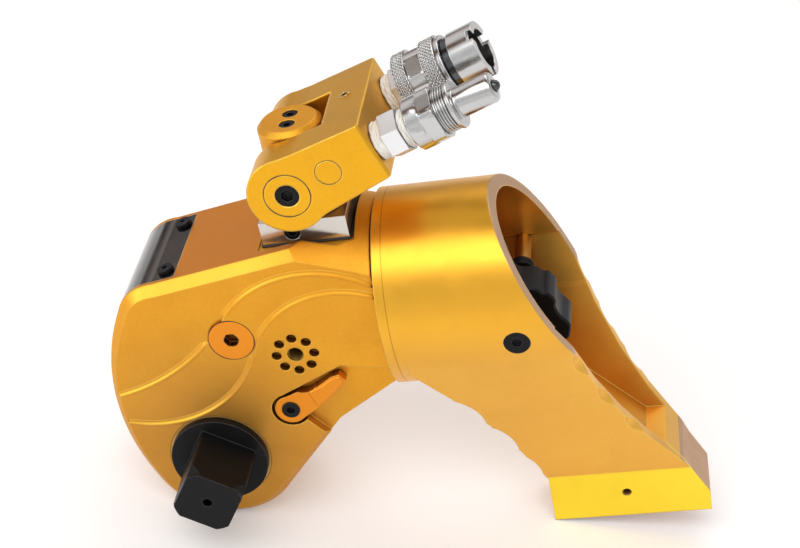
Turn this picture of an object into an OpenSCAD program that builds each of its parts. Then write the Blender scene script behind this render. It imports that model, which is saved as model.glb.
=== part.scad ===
// Hydraulic square-drive torque wrench with a removable reaction arm and a two-axis hose swivel.
// Millimetres. Drawn with the cylinder along X and the square drive towards -Y, then turned about Y
// so that the tool stands on its rounded nose and on the edge of the reaction foot.

/* [Body] */
// Width of the body across its flat sides
body_w = 66; // [60:1:74]
// Radius of the nose round the drive axis
nose_r = 33.8; // [32.5:0.1:36]
// Height of the cylinder axis over the drive axis
axis_h = 60.5; // [58:0.5:64]
// Distance from the drive axis to the body's end face at the reaction arm
body_end = 84.5; // [82:0.5:88]
// Height of the sloping top over the drive axis
top_h = 91.4; // [89:0.2:95]
// Slope of the top
top_slope = 9.65; // [6:0.05:12]
// Radius of the curved back
back_r = 99.5; // [96:0.5:106]
// Radius of the crown, where the back runs into the top
crown_r = 20; // [16:0.5:24]
// Chamfer along the top edges
top_chamfer = 6; // [4:0.5:7]
// Chamfer along the other side edges
side_chamfer = 3; // [2:0.5:4]
// Step height of the two flowing lines on each side
relief = 1; // [0.5:0.25:1.5]
// Thickness of the polished rear guard
guard_t = 2; // [1.5:0.5:2.5]
// Width of the rear guard
guard_w = 50; // [44:1:52]
// Radius of the side plug
plug_r = 9.9; // [8:0.1:11]

/* [Drive] */
// Side of the square drive
drive_sq = 25.4; // [19.05:0.05:25.4]
// Length of the square drive
drive_len = 28; // [24:0.5:34]
// Radius of the drive flange
flange_r = 21.6; // [19:0.2:22.4]
// Thickness of the drive flange
flange_t = 3; // [2:0.5:4]
// Radius of the drive shaft in its bushes
shaft_r = 18; // [17:0.5:19]
// Tip radius of the ratchet wheel
ratchet_r = 26; // [25:0.25:26.5]
// Number of ratchet teeth
ratchet_n = 24; // [20:1:30]
// Thickness of each drive plate
plate_t = 6; // [5:0.5:7]

/* [Cylinder] */
// Radius of the piston
piston_r = 18.5; // [17:0.5:20]
// Stroke of the piston
stroke = 26; // [22:1:28]
// Radius of the piston rod
rod_r = 12; // [10:0.5:13]
// Radius of the barrel where it sits in the body
barrel_r = 28.5; // [27:0.5:29]
// Radius over the splines that carry the reaction arm
spline_r = 30; // [29:0.5:31]
// Number of splines
spline_n = 24; // [18:2:30]

/* [Reaction arm] */
// Outer radius of the arm's collar
collar_r = 42.4; // [40:0.2:45]
// Wall of the collar at its open end
collar_wall = 5.4; // [4.5:0.1:6.5]
// Top length of the collar from the body
collar_top = 48.5; // [44:0.5:54]
// Drop of the sole below the drive axis
sole_drop = 68.5; // [64:0.5:74]
// Height of the foot
foot_h = 24.5; // [20:0.5:28]
// Distance from the drive axis to the heel of the foot
foot_x = 139.8; // [134:0.2:144]
// Length of the foot
foot_l = 71.2; // [66:0.2:76]
// Width of the foot
foot_w = 26.5; // [22:0.5:32]
// Radius of the finger scallops along the arm's lower edge
scallop_r = 22; // [18:1:28]
// Depth of the finger scallops
scallop_d = 2.4; // [1:0.2:3]
// Inward bow of the arm's two long edges
edge_bow = 4.4; // [3:0.2:6]

/* [Swivel] */
// Distance of the swivel's axis from the drive axis
swivel_x = 58.2; // [57:0.2:60]
// Height of the tilt pin over the drive axis
pin_h = 126.4; // [124:0.2:130]
// Tilt of the hose manifold as it stands
tilt = 20.5; // [0:0.5:60]
// Width of the manifold
manifold_w = 60; // [56:1:64]
// Radius of the manifold's ears
ear_r = 16.5; // [15:0.25:17]
// Distance from the tilt pin to the manifold's end face
manifold_l = 41.7; // [40:0.5:50]
// Radius of the swivel post
post_r = 13.5; // [12.5:0.25:14]
// Height of the swivel post's top over the tilt pin
post_h = 19.2; // [17:0.2:20]
// Side of the square swivel base
base_sq = 37; // [34:0.5:38]
// Spacing of the two hose couplers
port_gap = 40; // [36:0.5:42]
// Radius of the female coupler's sleeve
sleeve_r = 13.8; // [12.5:0.2:15]
// Radius of the male coupler's probe
probe_r = 6.2; // [5.5:0.1:7]

/* [Handle mount] */
// Radius of the ring of index holes
index_r = 8.2; // [7.5:0.1:9.5]
// Radius of each index hole
index_hole_r = 2.2; // [1.8:0.1:2.4]
// Number of index holes
index_n = 8; // [6:1:8]
// Core radius of the handle thread
handle_r = 3.4; // [2.6:0.1:3.6]

/* [Fits] */
// Radial clearance of running fits
fit = 0.05; // [0.03:0.01:0.08]
// Gap beside parts that only pass each other
gap = 0.5; // [0.4:0.1:0.8]

/* [Hidden] */
$fn = 72;
eps = 0.5;

half_w = body_w / 2;
shoulder = half_w + flange_t;
tan_top = tan(top_slope);
// round edges stand this much over the flats and arcs that run into them
lift = 0.12;
// back arc, run into the nose at the angle back_a
back_a = 206.1;
back_x = -(back_r - nose_r + lift) * cos(back_a);
back_z = -(back_r - nose_r + lift) * sin(back_a);
// crown circle, tangent to the top line and to the back arc
top_n = [-sin(top_slope), cos(top_slope)];
top_d = [cos(top_slope), sin(top_slope)];
top_c = top_h * cos(top_slope) - crown_r;
crown_0 = [top_n[0] * top_c - back_x, top_n[1] * top_c - back_z];
crown_b = crown_0[0] * top_d[0] + crown_0[1] * top_d[1];
crown_q = crown_0[0] * crown_0[0] + crown_0[1] * crown_0[1] - pow(back_r - crown_r, 2);
crown_s = -crown_b - sqrt(crown_b * crown_b - crown_q);
crown = [back_x + crown_0[0] + top_d[0] * crown_s, back_z + crown_0[1] + top_d[1] * crown_s];
crown_t = [crown[0] + top_n[0] * crown_r, crown[1] + top_n[1] * crown_r];
crown_a = atan2(crown[1] - back_z, crown[0] - back_x);
crown_c = crown + lift * [cos(crown_a), sin(crown_a)];
crown_in = crown + 8 * [-sin(crown_a), cos(crown_a)];
// tapering chamfer of the back, from the crown's width to the nose's
taper = (top_chamfer - side_chamfer) / (1 - cos(back_a - crown_a));
// chin: straight tangent of the nose, then a flatter run to the body's end
chin_a = 48;
chin_t = [nose_r * sin(chin_a), -nose_r * cos(chin_a)];
chin_l = 47.5;
chin_n = [sin(chin_a), -cos(chin_a)];
chin_i = chin_t - lift * chin_n;
chin_b = chin_i + chin_l * [cos(chin_a), sin(chin_a)];
chin_e = [body_end, axis_h - 30.5];
jaw_a = atan2(chin_e[1] - chin_b[1], chin_e[0] - chin_b[0]);
// place of the guard's lower screws on the back arc
guard_a = 174;
// flowing lines: each is an outer circle run into a hollow one
flow_1a = [55.8, 41];
flow_1r = 48.6;
flow_1b = [-54, 124];
flow_2a = [66.2, 38.5];
flow_2r = 41.2;
flow_2b = [-21.3, 73];

// interior
cav_w = 2 * 21.6;
plate_o = 21;
plate_i = plate_o - plate_t;
core_w = 2 * (plate_i - gap);
hub_r = 27;
cavity_r = hub_r + 0.6;
crank_x = stroke / 2;
crank_a = atan2(crank_x, axis_h);
eye_r = 10;
crank_pin_r = 6;
bush_r = 22.5;
gland_x = 52;
gland_l = 10;
barrel_x = 50;
barrel_end = 112;
cap_l = 7;
piston_l = 14;
piston_x = barrel_end - piston_l - 1;

// release lever and reaction pawl
lever_x = 37.1;
lever_z = 22.4;
lever_t = 3.8;
pocket_d = 4.5;
pawl_shaft_r = 4.5;
lever_a = 32.8;
lever_l = 29.8;

// handle ring and plug
index_x = 45.5;
index_z = 51.4;
plug_x = 19.4;
plug_z = 60.9;

// arm
arm_x = body_end + 1;
cut_x = arm_x + collar_top;
foot_z = -sole_drop + foot_h;
cut_run = (foot_x + foot_l - 7 - cut_x) / (axis_h + collar_r - foot_z);
cut_a = atan(cut_run);
foot_d = sqrt(pow(foot_w / 2, 2) + pow(axis_h - foot_z, 2));
side_a = atan2(foot_z - axis_h, foot_w / 2) + acos(collar_r / foot_d);
side_t = [collar_r * cos(side_a), axis_h + collar_r * sin(side_a)];
// arm's lower edge and rim of its trough, each bowed inwards between two ends
function bowed(a, b, f, w) = let (d = b - a, l = norm(d)) a + f * d + 4 * f * (1 - f) * w * [-d[1], d[0]] / l;
function rim_at(z) = [cut_x + cut_run * (axis_h + collar_r - z), z];
edge_lo = [for (i = [0:4]) bowed([arm_x + 7.5, 39], [foot_x, foot_z], i / 4, edge_bow)];
edge_up = [for (i = [0:4]) bowed(rim_at(44), rim_at(foot_z + 6), i / 4, -edge_bow)];
wall_run = (side_t[0] - foot_w / 2) / (side_t[1] - foot_z);
stud_x = barrel_end + cap_l;
latch_x = stud_x + 21.6;
latch_z = axis_h - 7.2;
latch_w = 18;

// standing tilt: common tangent of the nose and the foot's heel edge
rest_tilt = atan2(sole_drop, foot_x) - asin(nose_r / sqrt(foot_x * foot_x + sole_drop * sole_drop));

// swivel
pocket_z = 97;
base_top = 108;
slot_w = 2 * (post_r + 0.7);
root_u = sqrt(post_r * post_r + pow(post_h - 2, 2)) + 1.2;
spindle_r = 11.5;

// places a piece in the standing frame, origin at the middle of the drive shoulder
module place() {
  translate([0, shoulder, 0])
    rotate([0, -rest_tilt, 0])
      children();
}

// frame of the tilted manifold, x along the couplers
module tilted() {
  translate([swivel_x, 0, pin_h])
    rotate([0, -tilt, 0])
      children();
}

// side profile from y0 to y1
module slab(y0, y1) {
  translate([0, y1, 0])
    rotate([90, 0, 0])
      linear_extrude(height = y1 - y0)
        children();
}

// round pin along Y
module ypin(r, y0, y1, x = 0, z = 0) {
  translate([x, y1, z])
    rotate([90, 0, 0])
      cylinder(r = r, h = y1 - y0);
}

// round rod along the cylinder axis
module xrod(r, x0, x1) {
  translate([x0, 0, axis_h])
    rotate([0, 90, 0])
      cylinder(r = r, h = x1 - x0);
}

// tube along the cylinder axis
module xtube(r, ri, x0, x1) {
  difference() {
    xrod(r, x0, x1);
    xrod(ri, x0 - eps, x1 + eps);
  }
}

// round rod along the couplers in the manifold's frame
module urod(r, u0, u1, y = 0, h = 0) {
  translate([u0, y, h])
    rotate([0, 90, 0])
      cylinder(r = r, h = u1 - u0);
}

// hexagon along the couplers in the manifold's frame
module uhex(af, u0, u1, y = 0, h = 0) {
  translate([u0, y, h])
    rotate([0, 90, 0])
      cylinder(r = af / 2 / cos(30), h = u1 - u0, $fn = 6);
}

// hexagonal key socket sunk from the face at y towards +Y
module key_socket(af, y, d, x, z) {
  translate([x, y - eps, z])
    rotate([-90, 0, 0])
      cylinder(r = af / 2 / cos(30), h = d + eps, $fn = 6);
}

// edge chamfer along a straight edge of both sides, from p at angle a
module edge_cut(p, a, l, c, s) {
  w = half_w + eps;
  for (side = [0, 1])
    mirror([0, side, 0])
      translate([p[0], 0, p[1]])
        rotate([0, -a, 0])
          rotate([90, 0, 90])
            linear_extrude(height = l)
              polygon(s > 0 ? [[w, -c - eps], [w, eps], [half_w - c - eps, eps]]
                : [[w, c + eps], [half_w - c - eps, -eps], [w, -eps]]);
}

// wedge between two directions from c, reaching past a radius r
module wedge(c, r, a0, a1) {
  far = 2 * r / cos((a1 - a0) / 2);
  polygon([c, [c[0] + far * cos(a0), c[1] + far * sin(a0)], [c[0] + far * cos(a1), c[1] + far * sin(a1)]]);
}

// sector of a round disc between two angles less than half a turn apart
module sector(c, r, a0, a1) {
  intersection() {
    translate(c)
      circle(r = r, $fn = 180);
    wedge(c, r, a0, a1);
  }
}

// round edge of the body between two angles, rims chamfered, or chamfered round a shifted centre
module round_edge(c, r, ch, a0, a1, shift = [0, 0], out = 0) {
  intersection() {
    slab(-half_w, half_w)
      sector(c, r, a0, a1);
    translate([c[0] + shift[0], 0, c[1] + shift[1]])
      rotate([90, 0, 0])
        rotate_extrude($fn = 180)
          polygon([[0, -half_w], [r + out - ch, -half_w], [r + out + 2, -half_w + ch + 2], [r + out + 2, half_w - ch - 2],
            [r + out - ch, half_w], [0, half_w]]);
  }
}

// body blank: round edges, and a block between them that lies a hair below their tangents
module body_blank() {
  top_i = crown_t - lift * top_n;
  union() {
    round_edge([0, 0], nose_r, side_chamfer, back_a - 12, chin_a + 282);
    round_edge([back_x, back_z], back_r, top_chamfer + lift, crown_a, back_a + 4, taper * [cos(back_a), sin(back_a)],
      -taper * cos(back_a - crown_a));
    round_edge(crown_c, crown_r, top_chamfer, top_slope + 78, crown_a + 20);
    difference() {
      slab(-half_w, half_w)
        polygon([[0, 0], chin_i, chin_b, chin_e,
          top_i + (body_end - top_i[0]) * [1, tan_top], top_i, top_i - 12 * top_n, crown_in]);
      edge_cut(top_i - 5 * top_d, top_slope, 120, top_chamfer + lift, 1);
      edge_cut(chin_i - 5 * [cos(chin_a), sin(chin_a)], chin_a, chin_l + 6.2, side_chamfer + lift, -1);
      edge_cut(chin_b - 1.2 * [cos(jaw_a), sin(jaw_a)], jaw_a, 60, side_chamfer + lift, -1);
    }
  }
}

// side outline of the back, the crown and the top, sunk by t
module back_outline(t) {
  top_i = crown_t - (t + lift) * top_n;
  union() {
    sector(crown_c, crown_r - t, top_slope + 78, crown_a + 20);
    sector([back_x, back_z], back_r - t, crown_a, 190);
    polygon([[-15, 0], [80, 0], top_i + 90 * top_d, top_i, top_i - 12 * top_n, crown_in]);
  }
}

// cut outside one flowing line on both sides: a round arc run into a hollow one
module flow_cut(a, r, b, d) {
  rb = sqrt(pow(a[0] - b[0], 2) + pow(a[1] - b[1], 2)) - r;
  turn = atan2(b[1] - a[1], b[0] - a[0]);
  a0 = acos((body_end + 3 - a[0]) / r);
  b0 = -acos((-50 - b[0]) / rb);
  hollow = [for (i = [0:24]) let (t = b0 + (turn - 180 - b0) * i / 24) [b[0] + rb * cos(t), b[1] + rb * sin(t)]];
  round = [for (i = [1:24]) let (t = turn + (a0 - turn) * i / 24) [a[0] + r * cos(t), a[1] + r * sin(t)]];
  for (side = [0, 1])
    mirror([0, side, 0])
      slab(half_w - d, half_w + eps)
        polygon(concat([[130, 60], [130, 140], [-90, 140], [-90, hollow[0][1]]], hollow, round));
}

// room for the guard outside the body's core, from low on the back to the start of the top
module guard_room(t) {
  e = [crown_t[0] + 13 * top_d[0], crown_t[1] + 13 * top_d[1]];
  difference() {
    polygon([[-90, 28], [e[0] - 60 * top_n[0], e[1] - 60 * top_n[1]],
      [e[0] + 20 * top_n[0], e[1] + 20 * top_n[1]], [-90, 130]]);
    back_outline(t);
  }
}

// places a guard screw: on the crown end and low on the back
module guard_screw_spots() {
  for (y = [-18.5, 18.5]) {
    translate([crown_t[0] + 8 * top_d[0], y, crown_t[1] + 8 * top_d[1]])
      rotate([0, -top_slope, 0])
        children();
    translate([back_x + back_r * cos(guard_a), y, back_z + back_r * sin(guard_a)])
      rotate([0, 90 - guard_a, 0])
        children();
  }
}

// lever pocket outline on the near side
module lever_pocket() {
  union() {
    translate([lever_x, lever_z])
      circle(r = 8.4);
    polygon([[lever_x + 6, lever_z - 5.9], [52, 6], [100, -10], [100, 37.5], [67, 42.6], [63.5, 43.6],
      [lever_x - 4.5, lever_z + 7]]);
  }
}

// main body with its drive cavity, cylinder bore, swivel pocket and handle ring
module housing() {
  color([0.87, 0.63, 0.18])
    place()
      difference() {
        body_blank();
        difference() {
          translate([30, -50, axis_h + 2])
            cube([70, 100, 80]);
          translate([26, 0, axis_h])
            rotate([0, 90, 0])
              cylinder(r1 = 54.4, r2 = 40, h = body_end - 26, $fn = 180);
        }
        flow_cut(flow_2a, flow_2r, flow_2b, relief);
        flow_cut(flow_1a, flow_1r, flow_1b, 2 * relief);
        slab(-guard_w / 2, guard_w / 2)
          guard_room(guard_t);
        guard_screw_spots()
          translate([0, 0, -9])
            cylinder(r = 2.1, h = 10);
        // drive cavity and crank sweep
        slab(-cav_w / 2, cav_w / 2)
          union() {
            circle(r = cavity_r);
            polygon([[-cavity_r, 0], [cavity_r, 0], [crank_x + 15, axis_h - 12], [crank_x + 13, axis_h + 6],
              [crank_x, axis_h + 14], [-crank_x - 3, axis_h + 14], [-crank_x - 12.5, axis_h + 10],
              [-crank_x - 15, axis_h - 12]]);
          }
        ypin(bush_r, -half_w - eps, half_w + eps);
        // reaction pawl room
        slab(-core_w / 2 - gap, core_w / 2 + gap)
          union() {
            translate([lever_x, lever_z])
              circle(r = 11);
            polygon([[8, 26], [24, 38], [lever_x, lever_z + 11], [lever_x, lever_z - 11], [20, 8]]);
          }
        ypin(pawl_shaft_r + fit, -half_w - eps, core_w / 2, lever_x, lever_z);
        slab(-half_w - eps, -half_w + pocket_d)
          lever_pocket();
        // cylinder bore and rod tunnel
        xrod(rod_r + 1.5, 0, barrel_x + eps);
        xrod(barrel_r, barrel_x, body_end + eps);
        // side plug seat
        ypin(plug_r, -half_w - eps, -half_w + 6, plug_x, plug_z);
        // handle ring
        for (i = [0:index_n - 1])
          ypin(index_hole_r, -half_w - eps, -half_w + 4, index_x + index_r * cos(90 + i * 360 / index_n),
            index_z + index_r * sin(90 + i * 360 / index_n));
        ypin(handle_r, -half_w - eps, -half_w + 9, index_x, index_z);
        // swivel pocket
        translate([swivel_x - base_sq / 2 - 1.8, -23, pocket_z])
          cube([base_sq + 3.6, 46, 40]);
      }
}

// polished guard over the back
module rear_guard() {
  color([0.8, 0.8, 0.82])
    place()
      difference() {
        slab(-guard_w / 2, guard_w / 2)
          intersection() {
            back_outline(0);
            guard_room(guard_t);
          }
        guard_screw_spots()
          translate([0, 0, -9])
            cylinder(r = 2.1, h = 10);
      }
}

// four button-head screws of the guard
module guard_screws() {
  color([0.12, 0.12, 0.13])
    place()
      guard_screw_spots()
        difference() {
          union() {
            translate([0, 0, -8.5])
              cylinder(r = 2.1, h = 9);
            cylinder(r = 3.6, h = 1.6);
          }
          translate([0, 0, 0.4])
            cylinder(r = 1.45, h = 2, $fn = 6);
        }
}

// flush plug with a hexagonal socket
module side_plug() {
  color([0.9, 0.58, 0.17])
    place()
      difference() {
        ypin(plug_r, -half_w + relief, -half_w + 6, plug_x, plug_z);
        key_socket(6, -half_w + relief, 3.5, plug_x, plug_z);
      }
}

// plain bush of the drive shaft, near side
module front_bush() {
  color([0.72, 0.53, 0.25])
    place()
      difference() {
        ypin(bush_r, -half_w, -cav_w / 2);
        ypin(shaft_r + fit, -half_w - eps, 0);
      }
}

// plain bush of the drive shaft, far side
module rear_bush() {
  color([0.72, 0.53, 0.25])
    place()
      difference() {
        ypin(bush_r, cav_w / 2, half_w);
        ypin(shaft_r + fit, 0, half_w + eps);
      }
}

// black drive shaft with its flange and turned square end
module square_drive() {
  color([0.11, 0.11, 0.12])
    place()
      rotate([0, 33, 0])
        difference() {
          union() {
            ypin(flange_r, -shoulder, -half_w - 0.3);
            ypin(shaft_r, -half_w - 1, half_w + 2);
            intersection() {
              translate([-drive_sq / 2, -shoulder - drive_len, -drive_sq / 2])
                cube([drive_sq, drive_len + 1, drive_sq]);
              union() {
                ypin(drive_sq * 0.69, -shoulder - drive_len + 5, -shoulder + 1);
                ypin(drive_sq * 0.6, -shoulder - drive_len, -shoulder + 1);
                translate([0, -shoulder - drive_len + 5, 0])
                  rotate([90, 0, 0])
                    cylinder(r1 = drive_sq * 0.69, r2 = drive_sq * 0.6, h = 3);
              }
            }
          }
          ypin(2.2, -shoulder - drive_len - eps, -shoulder - drive_len + 6);
          ypin(6.5, half_w - 8, half_w + 3);
        }
}

// ratchet wheel on the drive shaft
module ratchet_wheel() {
  color([0.45, 0.45, 0.48])
    place()
      slab(-core_w / 2, core_w / 2)
        difference() {
          union() {
            circle(r = ratchet_r - 3);
            for (i = [0:ratchet_n - 1])
              rotate(i * 360 / ratchet_n)
                polygon([[ratchet_r - 4, -4.4], [ratchet_r - 0.4, -2.6], [ratchet_r, 0], [ratchet_r - 3.4, 0.8],
                  [ratchet_r - 5, 0]]);
          }
          circle(r = shaft_r);
        }
}

// knob that holds the drive shaft from the far side
module drive_retainer() {
  color([0.11, 0.11, 0.12])
    place()
      difference() {
        union() {
          ypin(shaft_r + 2, half_w + 2, half_w + 8);
          ypin(shaft_r, half_w + 8, half_w + 9.5);
        }
        ypin(6 + fit, half_w + 1, half_w + 10);
        for (i = [0:11])
          ypin(1.6, half_w + 1, half_w + 10, (shaft_r + 2.4) * cos(i * 30), (shaft_r + 2.4) * sin(i * 30));
      }
}

// push button that frees the drive shaft
module release_button() {
  color([0.72, 0.72, 0.74])
    place()
      union() {
        ypin(6, half_w - 0.5, half_w + 13);
        ypin(6.4, half_w - 1.5, half_w + 1.4);
      }
}

// spring under the push button
module button_spring() {
  color([0.6, 0.6, 0.62])
    place()
      difference() {
        ypin(5.2, half_w - 8, half_w - 5.2);
        ypin(4, half_w - 9, half_w - 4);
      }
}

// outline of one drive plate
module plate_outline() {
  union() {
    circle(r = hub_r);
    translate([crank_x, axis_h])
      circle(r = eye_r);
    polygon([[-hub_r * cos(4), hub_r * sin(4)], [0, -10], [hub_r * cos(12), -hub_r * sin(12)], [hub_r, 4],
      [crank_x + eye_r * 0.97, axis_h + 1], [crank_x, axis_h + 4], [crank_x - eye_r * 0.99, axis_h + 2]]);
  }
}

// pair of drive plates with slotted eyes
module drive_plates() {
  color([0.5, 0.5, 0.53])
    place()
      for (side = [0, 1])
        mirror([0, side, 0])
          slab(plate_i, plate_o)
            difference() {
              plate_outline();
              circle(r = shaft_r + 0.4);
              translate([crank_x, axis_h])
                circle(r = crank_pin_r + 0.4);
              translate([crank_x - 1.4 * sin(crank_a), axis_h - 1.4 * cos(crank_a)])
                circle(r = crank_pin_r + 0.4);
              translate([crank_x, axis_h])
                rotate(-crank_a)
                  translate([-crank_pin_r - 0.4, -1.4])
                    square([2 * crank_pin_r + 0.8, 1.4]);
              translate([19, 36])
                circle(r = 3.5);
            }
}

// pawl that takes the ratchet along on the power stroke
module drive_pawl() {
  color([0.55, 0.55, 0.58])
    place()
      slab(-core_w / 2 + 1, core_w / 2 - 1)
        difference() {
          union() {
            translate([19, 36])
              circle(r = 6);
            polygon([[14.2, 39.6], [7.4, 28.4], [8.2, 25.6], [12.6, 23.6], [23, 31.5]]);
          }
          translate([19, 36])
            circle(r = 3.5 + fit);
        }
}

// pivot of the drive pawl across both plates
module drive_pawl_pin() {
  color([0.7, 0.7, 0.72])
    place()
      ypin(3.5, -plate_o, plate_o, 19, 36);
}

// cross pin of the rod in the plates' slots
module rod_pin() {
  color([0.7, 0.7, 0.72])
    place()
      ypin(crank_pin_r, -plate_o, plate_o, crank_x, axis_h);
}

// piston rod with its flattened eye
module piston_rod() {
  color([0.75, 0.75, 0.78])
    place()
      difference() {
        union() {
          xrod(rod_r, crank_x + 8, piston_x);
          intersection() {
            xrod(rod_r, crank_x - 10, crank_x + 9);
            translate([crank_x - 12, -9, axis_h - 9])
              cube([30, 18, 18]);
          }
          intersection() {
            xrod(rod_r, crank_x - 3, crank_x + 12);
            translate([crank_x - 12, -9, axis_h - 20])
              cube([30, 18, 40]);
          }
        }
        ypin(crank_pin_r, -20, 20, crank_x, axis_h);
      }
}

// piston with its seal groove
module piston() {
  color([0.62, 0.62, 0.65])
    place()
      difference() {
        xrod(piston_r, piston_x, piston_x + piston_l);
        xtube(piston_r + 1, piston_r - 2.2, piston_x + 5, piston_x + 9);
      }
}

// lip seal in the piston's groove
module piston_seal() {
  color([0.1, 0.3, 0.3])
    place()
      xtube(piston_r, piston_r - 2.2, piston_x + 5, piston_x + 9);
}

// splined ring outline across the cylinder axis
module spline_outline(r, d) {
  union() {
    circle(r = r - 1.6);
    for (i = [0:spline_n - 1])
      rotate(i * 360 / spline_n)
        translate([0, -1.9 - d])
          square([r, 3.8 + 2 * d]);
  }
}

// cylinder barrel with outside splines for the reaction arm
module cylinder_barrel() {
  color([0.78, 0.6, 0.26])
    place()
      difference() {
        union() {
          xrod(barrel_r, barrel_x, body_end);
          translate([body_end, 0, axis_h])
            rotate([0, 90, 0])
              linear_extrude(height = barrel_end - body_end)
                spline_outline(spline_r, 0);
        }
        xrod(piston_r + fit, gland_x + gland_l, barrel_end + eps);
        xrod(piston_r + 3, barrel_x - eps, gland_x + gland_l);
      }
}

// gland that guides the rod
module rod_gland() {
  color([0.72, 0.53, 0.25])
    place()
      difference() {
        xtube(piston_r + 3, rod_r + fit, barrel_x, gland_x + gland_l);
        xtube(rod_r + 2.5, rod_r, gland_x + 4, gland_x + 7);
      }
}

// rod seal in the gland
module rod_seal() {
  color([0.1, 0.3, 0.3])
    place()
      xtube(rod_r + 2.5, rod_r + fit, gland_x + 4, gland_x + 7);
}

// end cap of the cylinder with the latch stud
module cylinder_cap() {
  color([0.78, 0.6, 0.26])
    place()
      difference() {
        union() {
          xrod(spline_r - 2.2, barrel_end, stud_x);
          xrod(piston_r, barrel_end - 0.8, barrel_end + 1);
          xrod(4.5, stud_x - 1, stud_x + 9);
          xrod(6.8, stud_x + 8.5, stud_x + 11);
        }
        for (a = [45:90:315])
          translate([stud_x - 4, 19 * cos(a), axis_h + 19 * sin(a)])
            rotate([0, 90, 0])
              cylinder(r = 3, h = 6);
        xtube(piston_r - 1, piston_r - 3.4, barrel_end - 1, barrel_end + 1);
      }
}

// seal ring under the end cap
module cap_seal() {
  color([0.08, 0.08, 0.09])
    place()
      xtube(piston_r - 1, piston_r - 3.4, barrel_end - 0.8, barrel_end + 1);
}

// reaction pawl on its cross shaft
module reaction_pawl() {
  color([0.55, 0.55, 0.58])
    place()
      union() {
        slab(-core_w / 2 + 1, core_w / 2 - 1)
          union() {
            translate([lever_x, lever_z])
              circle(r = 8);
            polygon([[lever_x - 1, lever_z + 7.9], [22, 22.6], [19.4, 19.2], [23.6, 13.2], [lever_x, lever_z - 8]]);
          }
        ypin(pawl_shaft_r, -half_w + pocket_d - 1, core_w / 2 - 1, lever_x, lever_z);
      }
}

// outline of the release lever: round hub, hollow upper edge, hooked tip
module lever_outline() {
  translate([lever_x, lever_z])
    difference() {
      union() {
        circle(r = 7);
        rotate(lever_a)
          polygon([[0, -6.9], [9, -6.8], [20, -6], [lever_l, -3.7], [lever_l - 0.4, 0.5], [lever_l - 3.8, 1.6],
            [18, 1.5], [9, 5], [0, 6.9]]);
      }
      rotate(lever_a)
        translate([15, 9.2])
          circle(r = 7.5);
    }
}

// thumb lever that lifts the reaction pawl
module release_lever() {
  color([0.9, 0.58, 0.17])
    place()
      difference() {
        slab(-half_w + 0.2, -half_w + pocket_d - 0.4)
          lever_outline();
        ypin(pawl_shaft_r, -half_w + pocket_d - 1, 0, lever_x, lever_z);
        ypin(3.9, -half_w - eps, -half_w + 2.4, lever_x, lever_z);
      }
}

// socket screw of the lever
module lever_screw() {
  color([0.11, 0.11, 0.12])
    place()
      difference() {
        ypin(3.9, -half_w - 0.4, -half_w + 2.4, lever_x, lever_z);
        key_socket(3.6, -half_w - 0.4, 1.8, lever_x, lever_z);
      }
}

// outer section of the arm across the cylinder axis, as (Y, Z)
module arm_section(w) {
  union() {
    translate([0, axis_h])
      circle(r = collar_r - w, $fn = 120);
    polygon([[-side_t[0] + w, side_t[1]], [-foot_w / 2 + w, foot_z], [-foot_w / 2 + w, -sole_drop],
      [foot_w / 2 - w, -sole_drop], [foot_w / 2 - w, foot_z], [side_t[0] - w, side_t[1]]]);
  }
}

// section outline carried along X
module along_x(x0, x1) {
  translate([x0, 0, 0])
    rotate([90, 0, 90])
      linear_extrude(height = x1 - x0)
        children();
}

// reaction arm: splined collar cut open at a slant, tapered hollow arm with finger scallops, and foot
module reaction_arm() {
  foot_end = foot_x + foot_l;
  color([0.87, 0.63, 0.18])
    place()
      difference() {
        union() {
          intersection() {
            along_x(arm_x, foot_end)
              translate([0, axis_h])
                circle(r = collar_r, $fn = 120);
            slab(-60, 60)
              polygon([[arm_x, 0], [cut_x + cut_run * (axis_h + collar_r), 0],
                [cut_x + cut_run * (axis_h + collar_r - 120), 120], [arm_x, 120]]);
          }
          intersection() {
            along_x(arm_x, foot_end)
              arm_section(0);
            slab(-60, 60)
              polygon(concat([[edge_lo[0][0], 50]], edge_lo, [[foot_x, -sole_drop], [foot_end, -sole_drop],
                [foot_end, foot_z - 14], [foot_end - 7, foot_z], rim_at(50)]));
          }
        }
        // splined seat
        translate([arm_x - eps, 0, axis_h])
          rotate([0, 90, 0])
            linear_extrude(height = barrel_end - arm_x + eps + 0.2)
              spline_outline(spline_r + 0.2, 0.15);
        // open shell and trough
        xrod(collar_r - collar_wall, barrel_end, 220);
        intersection() {
          along_x(barrel_end, foot_end)
            polygon([[-38, 56], [-11, -36], [11, -36], [38, 56]]);
          slab(-60, 60)
            polygon([[barrel_end, 34], [124, 24], [186, -28], [215, -28], [215, 60], [barrel_end, 60]]);
        }
        // bowed rim with its lobed bevels, finger scallops below
        slab(-60, 60)
          polygon(concat(edge_up, [rim_at(foot_z + 6) + [30, 10], rim_at(44) + [30, 10]]));
        for (i = [0:2])
          let (m = (edge_up[i] + edge_up[i + 1]) / 2, w = foot_w / 2 + wall_run * (m[1] - foot_z))
            for (side = [-1, 1])
              translate([m[0] + 5, side * (w + 6), m[1] + 2.4])
                sphere(r = 10.5);
        for (i = [1:3])
          let (m = (edge_lo[i] + edge_lo[i + 1]) / 2, d = edge_lo[i + 1] - edge_lo[i],
            deep = i < 3 ? scallop_d : scallop_d / 2,
            c = m + (scallop_r - deep) * [d[1], -d[0]] / norm(d))
            ypin(scallop_r, -60, 60, c[0], c[1]);
        // latch pivot and foot hole
        ypin(3.5, -60, 60, latch_x, latch_z);
        for (side = [-1, 1])
          translate([latch_x, side * 41, latch_z])
            rotate([90, 0, 0])
              cylinder(r = 5.6, h = 4, center = true);
        ypin(2.1, -30, -foot_w / 2 + 9, 174, foot_z - 11);
      }
}

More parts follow.
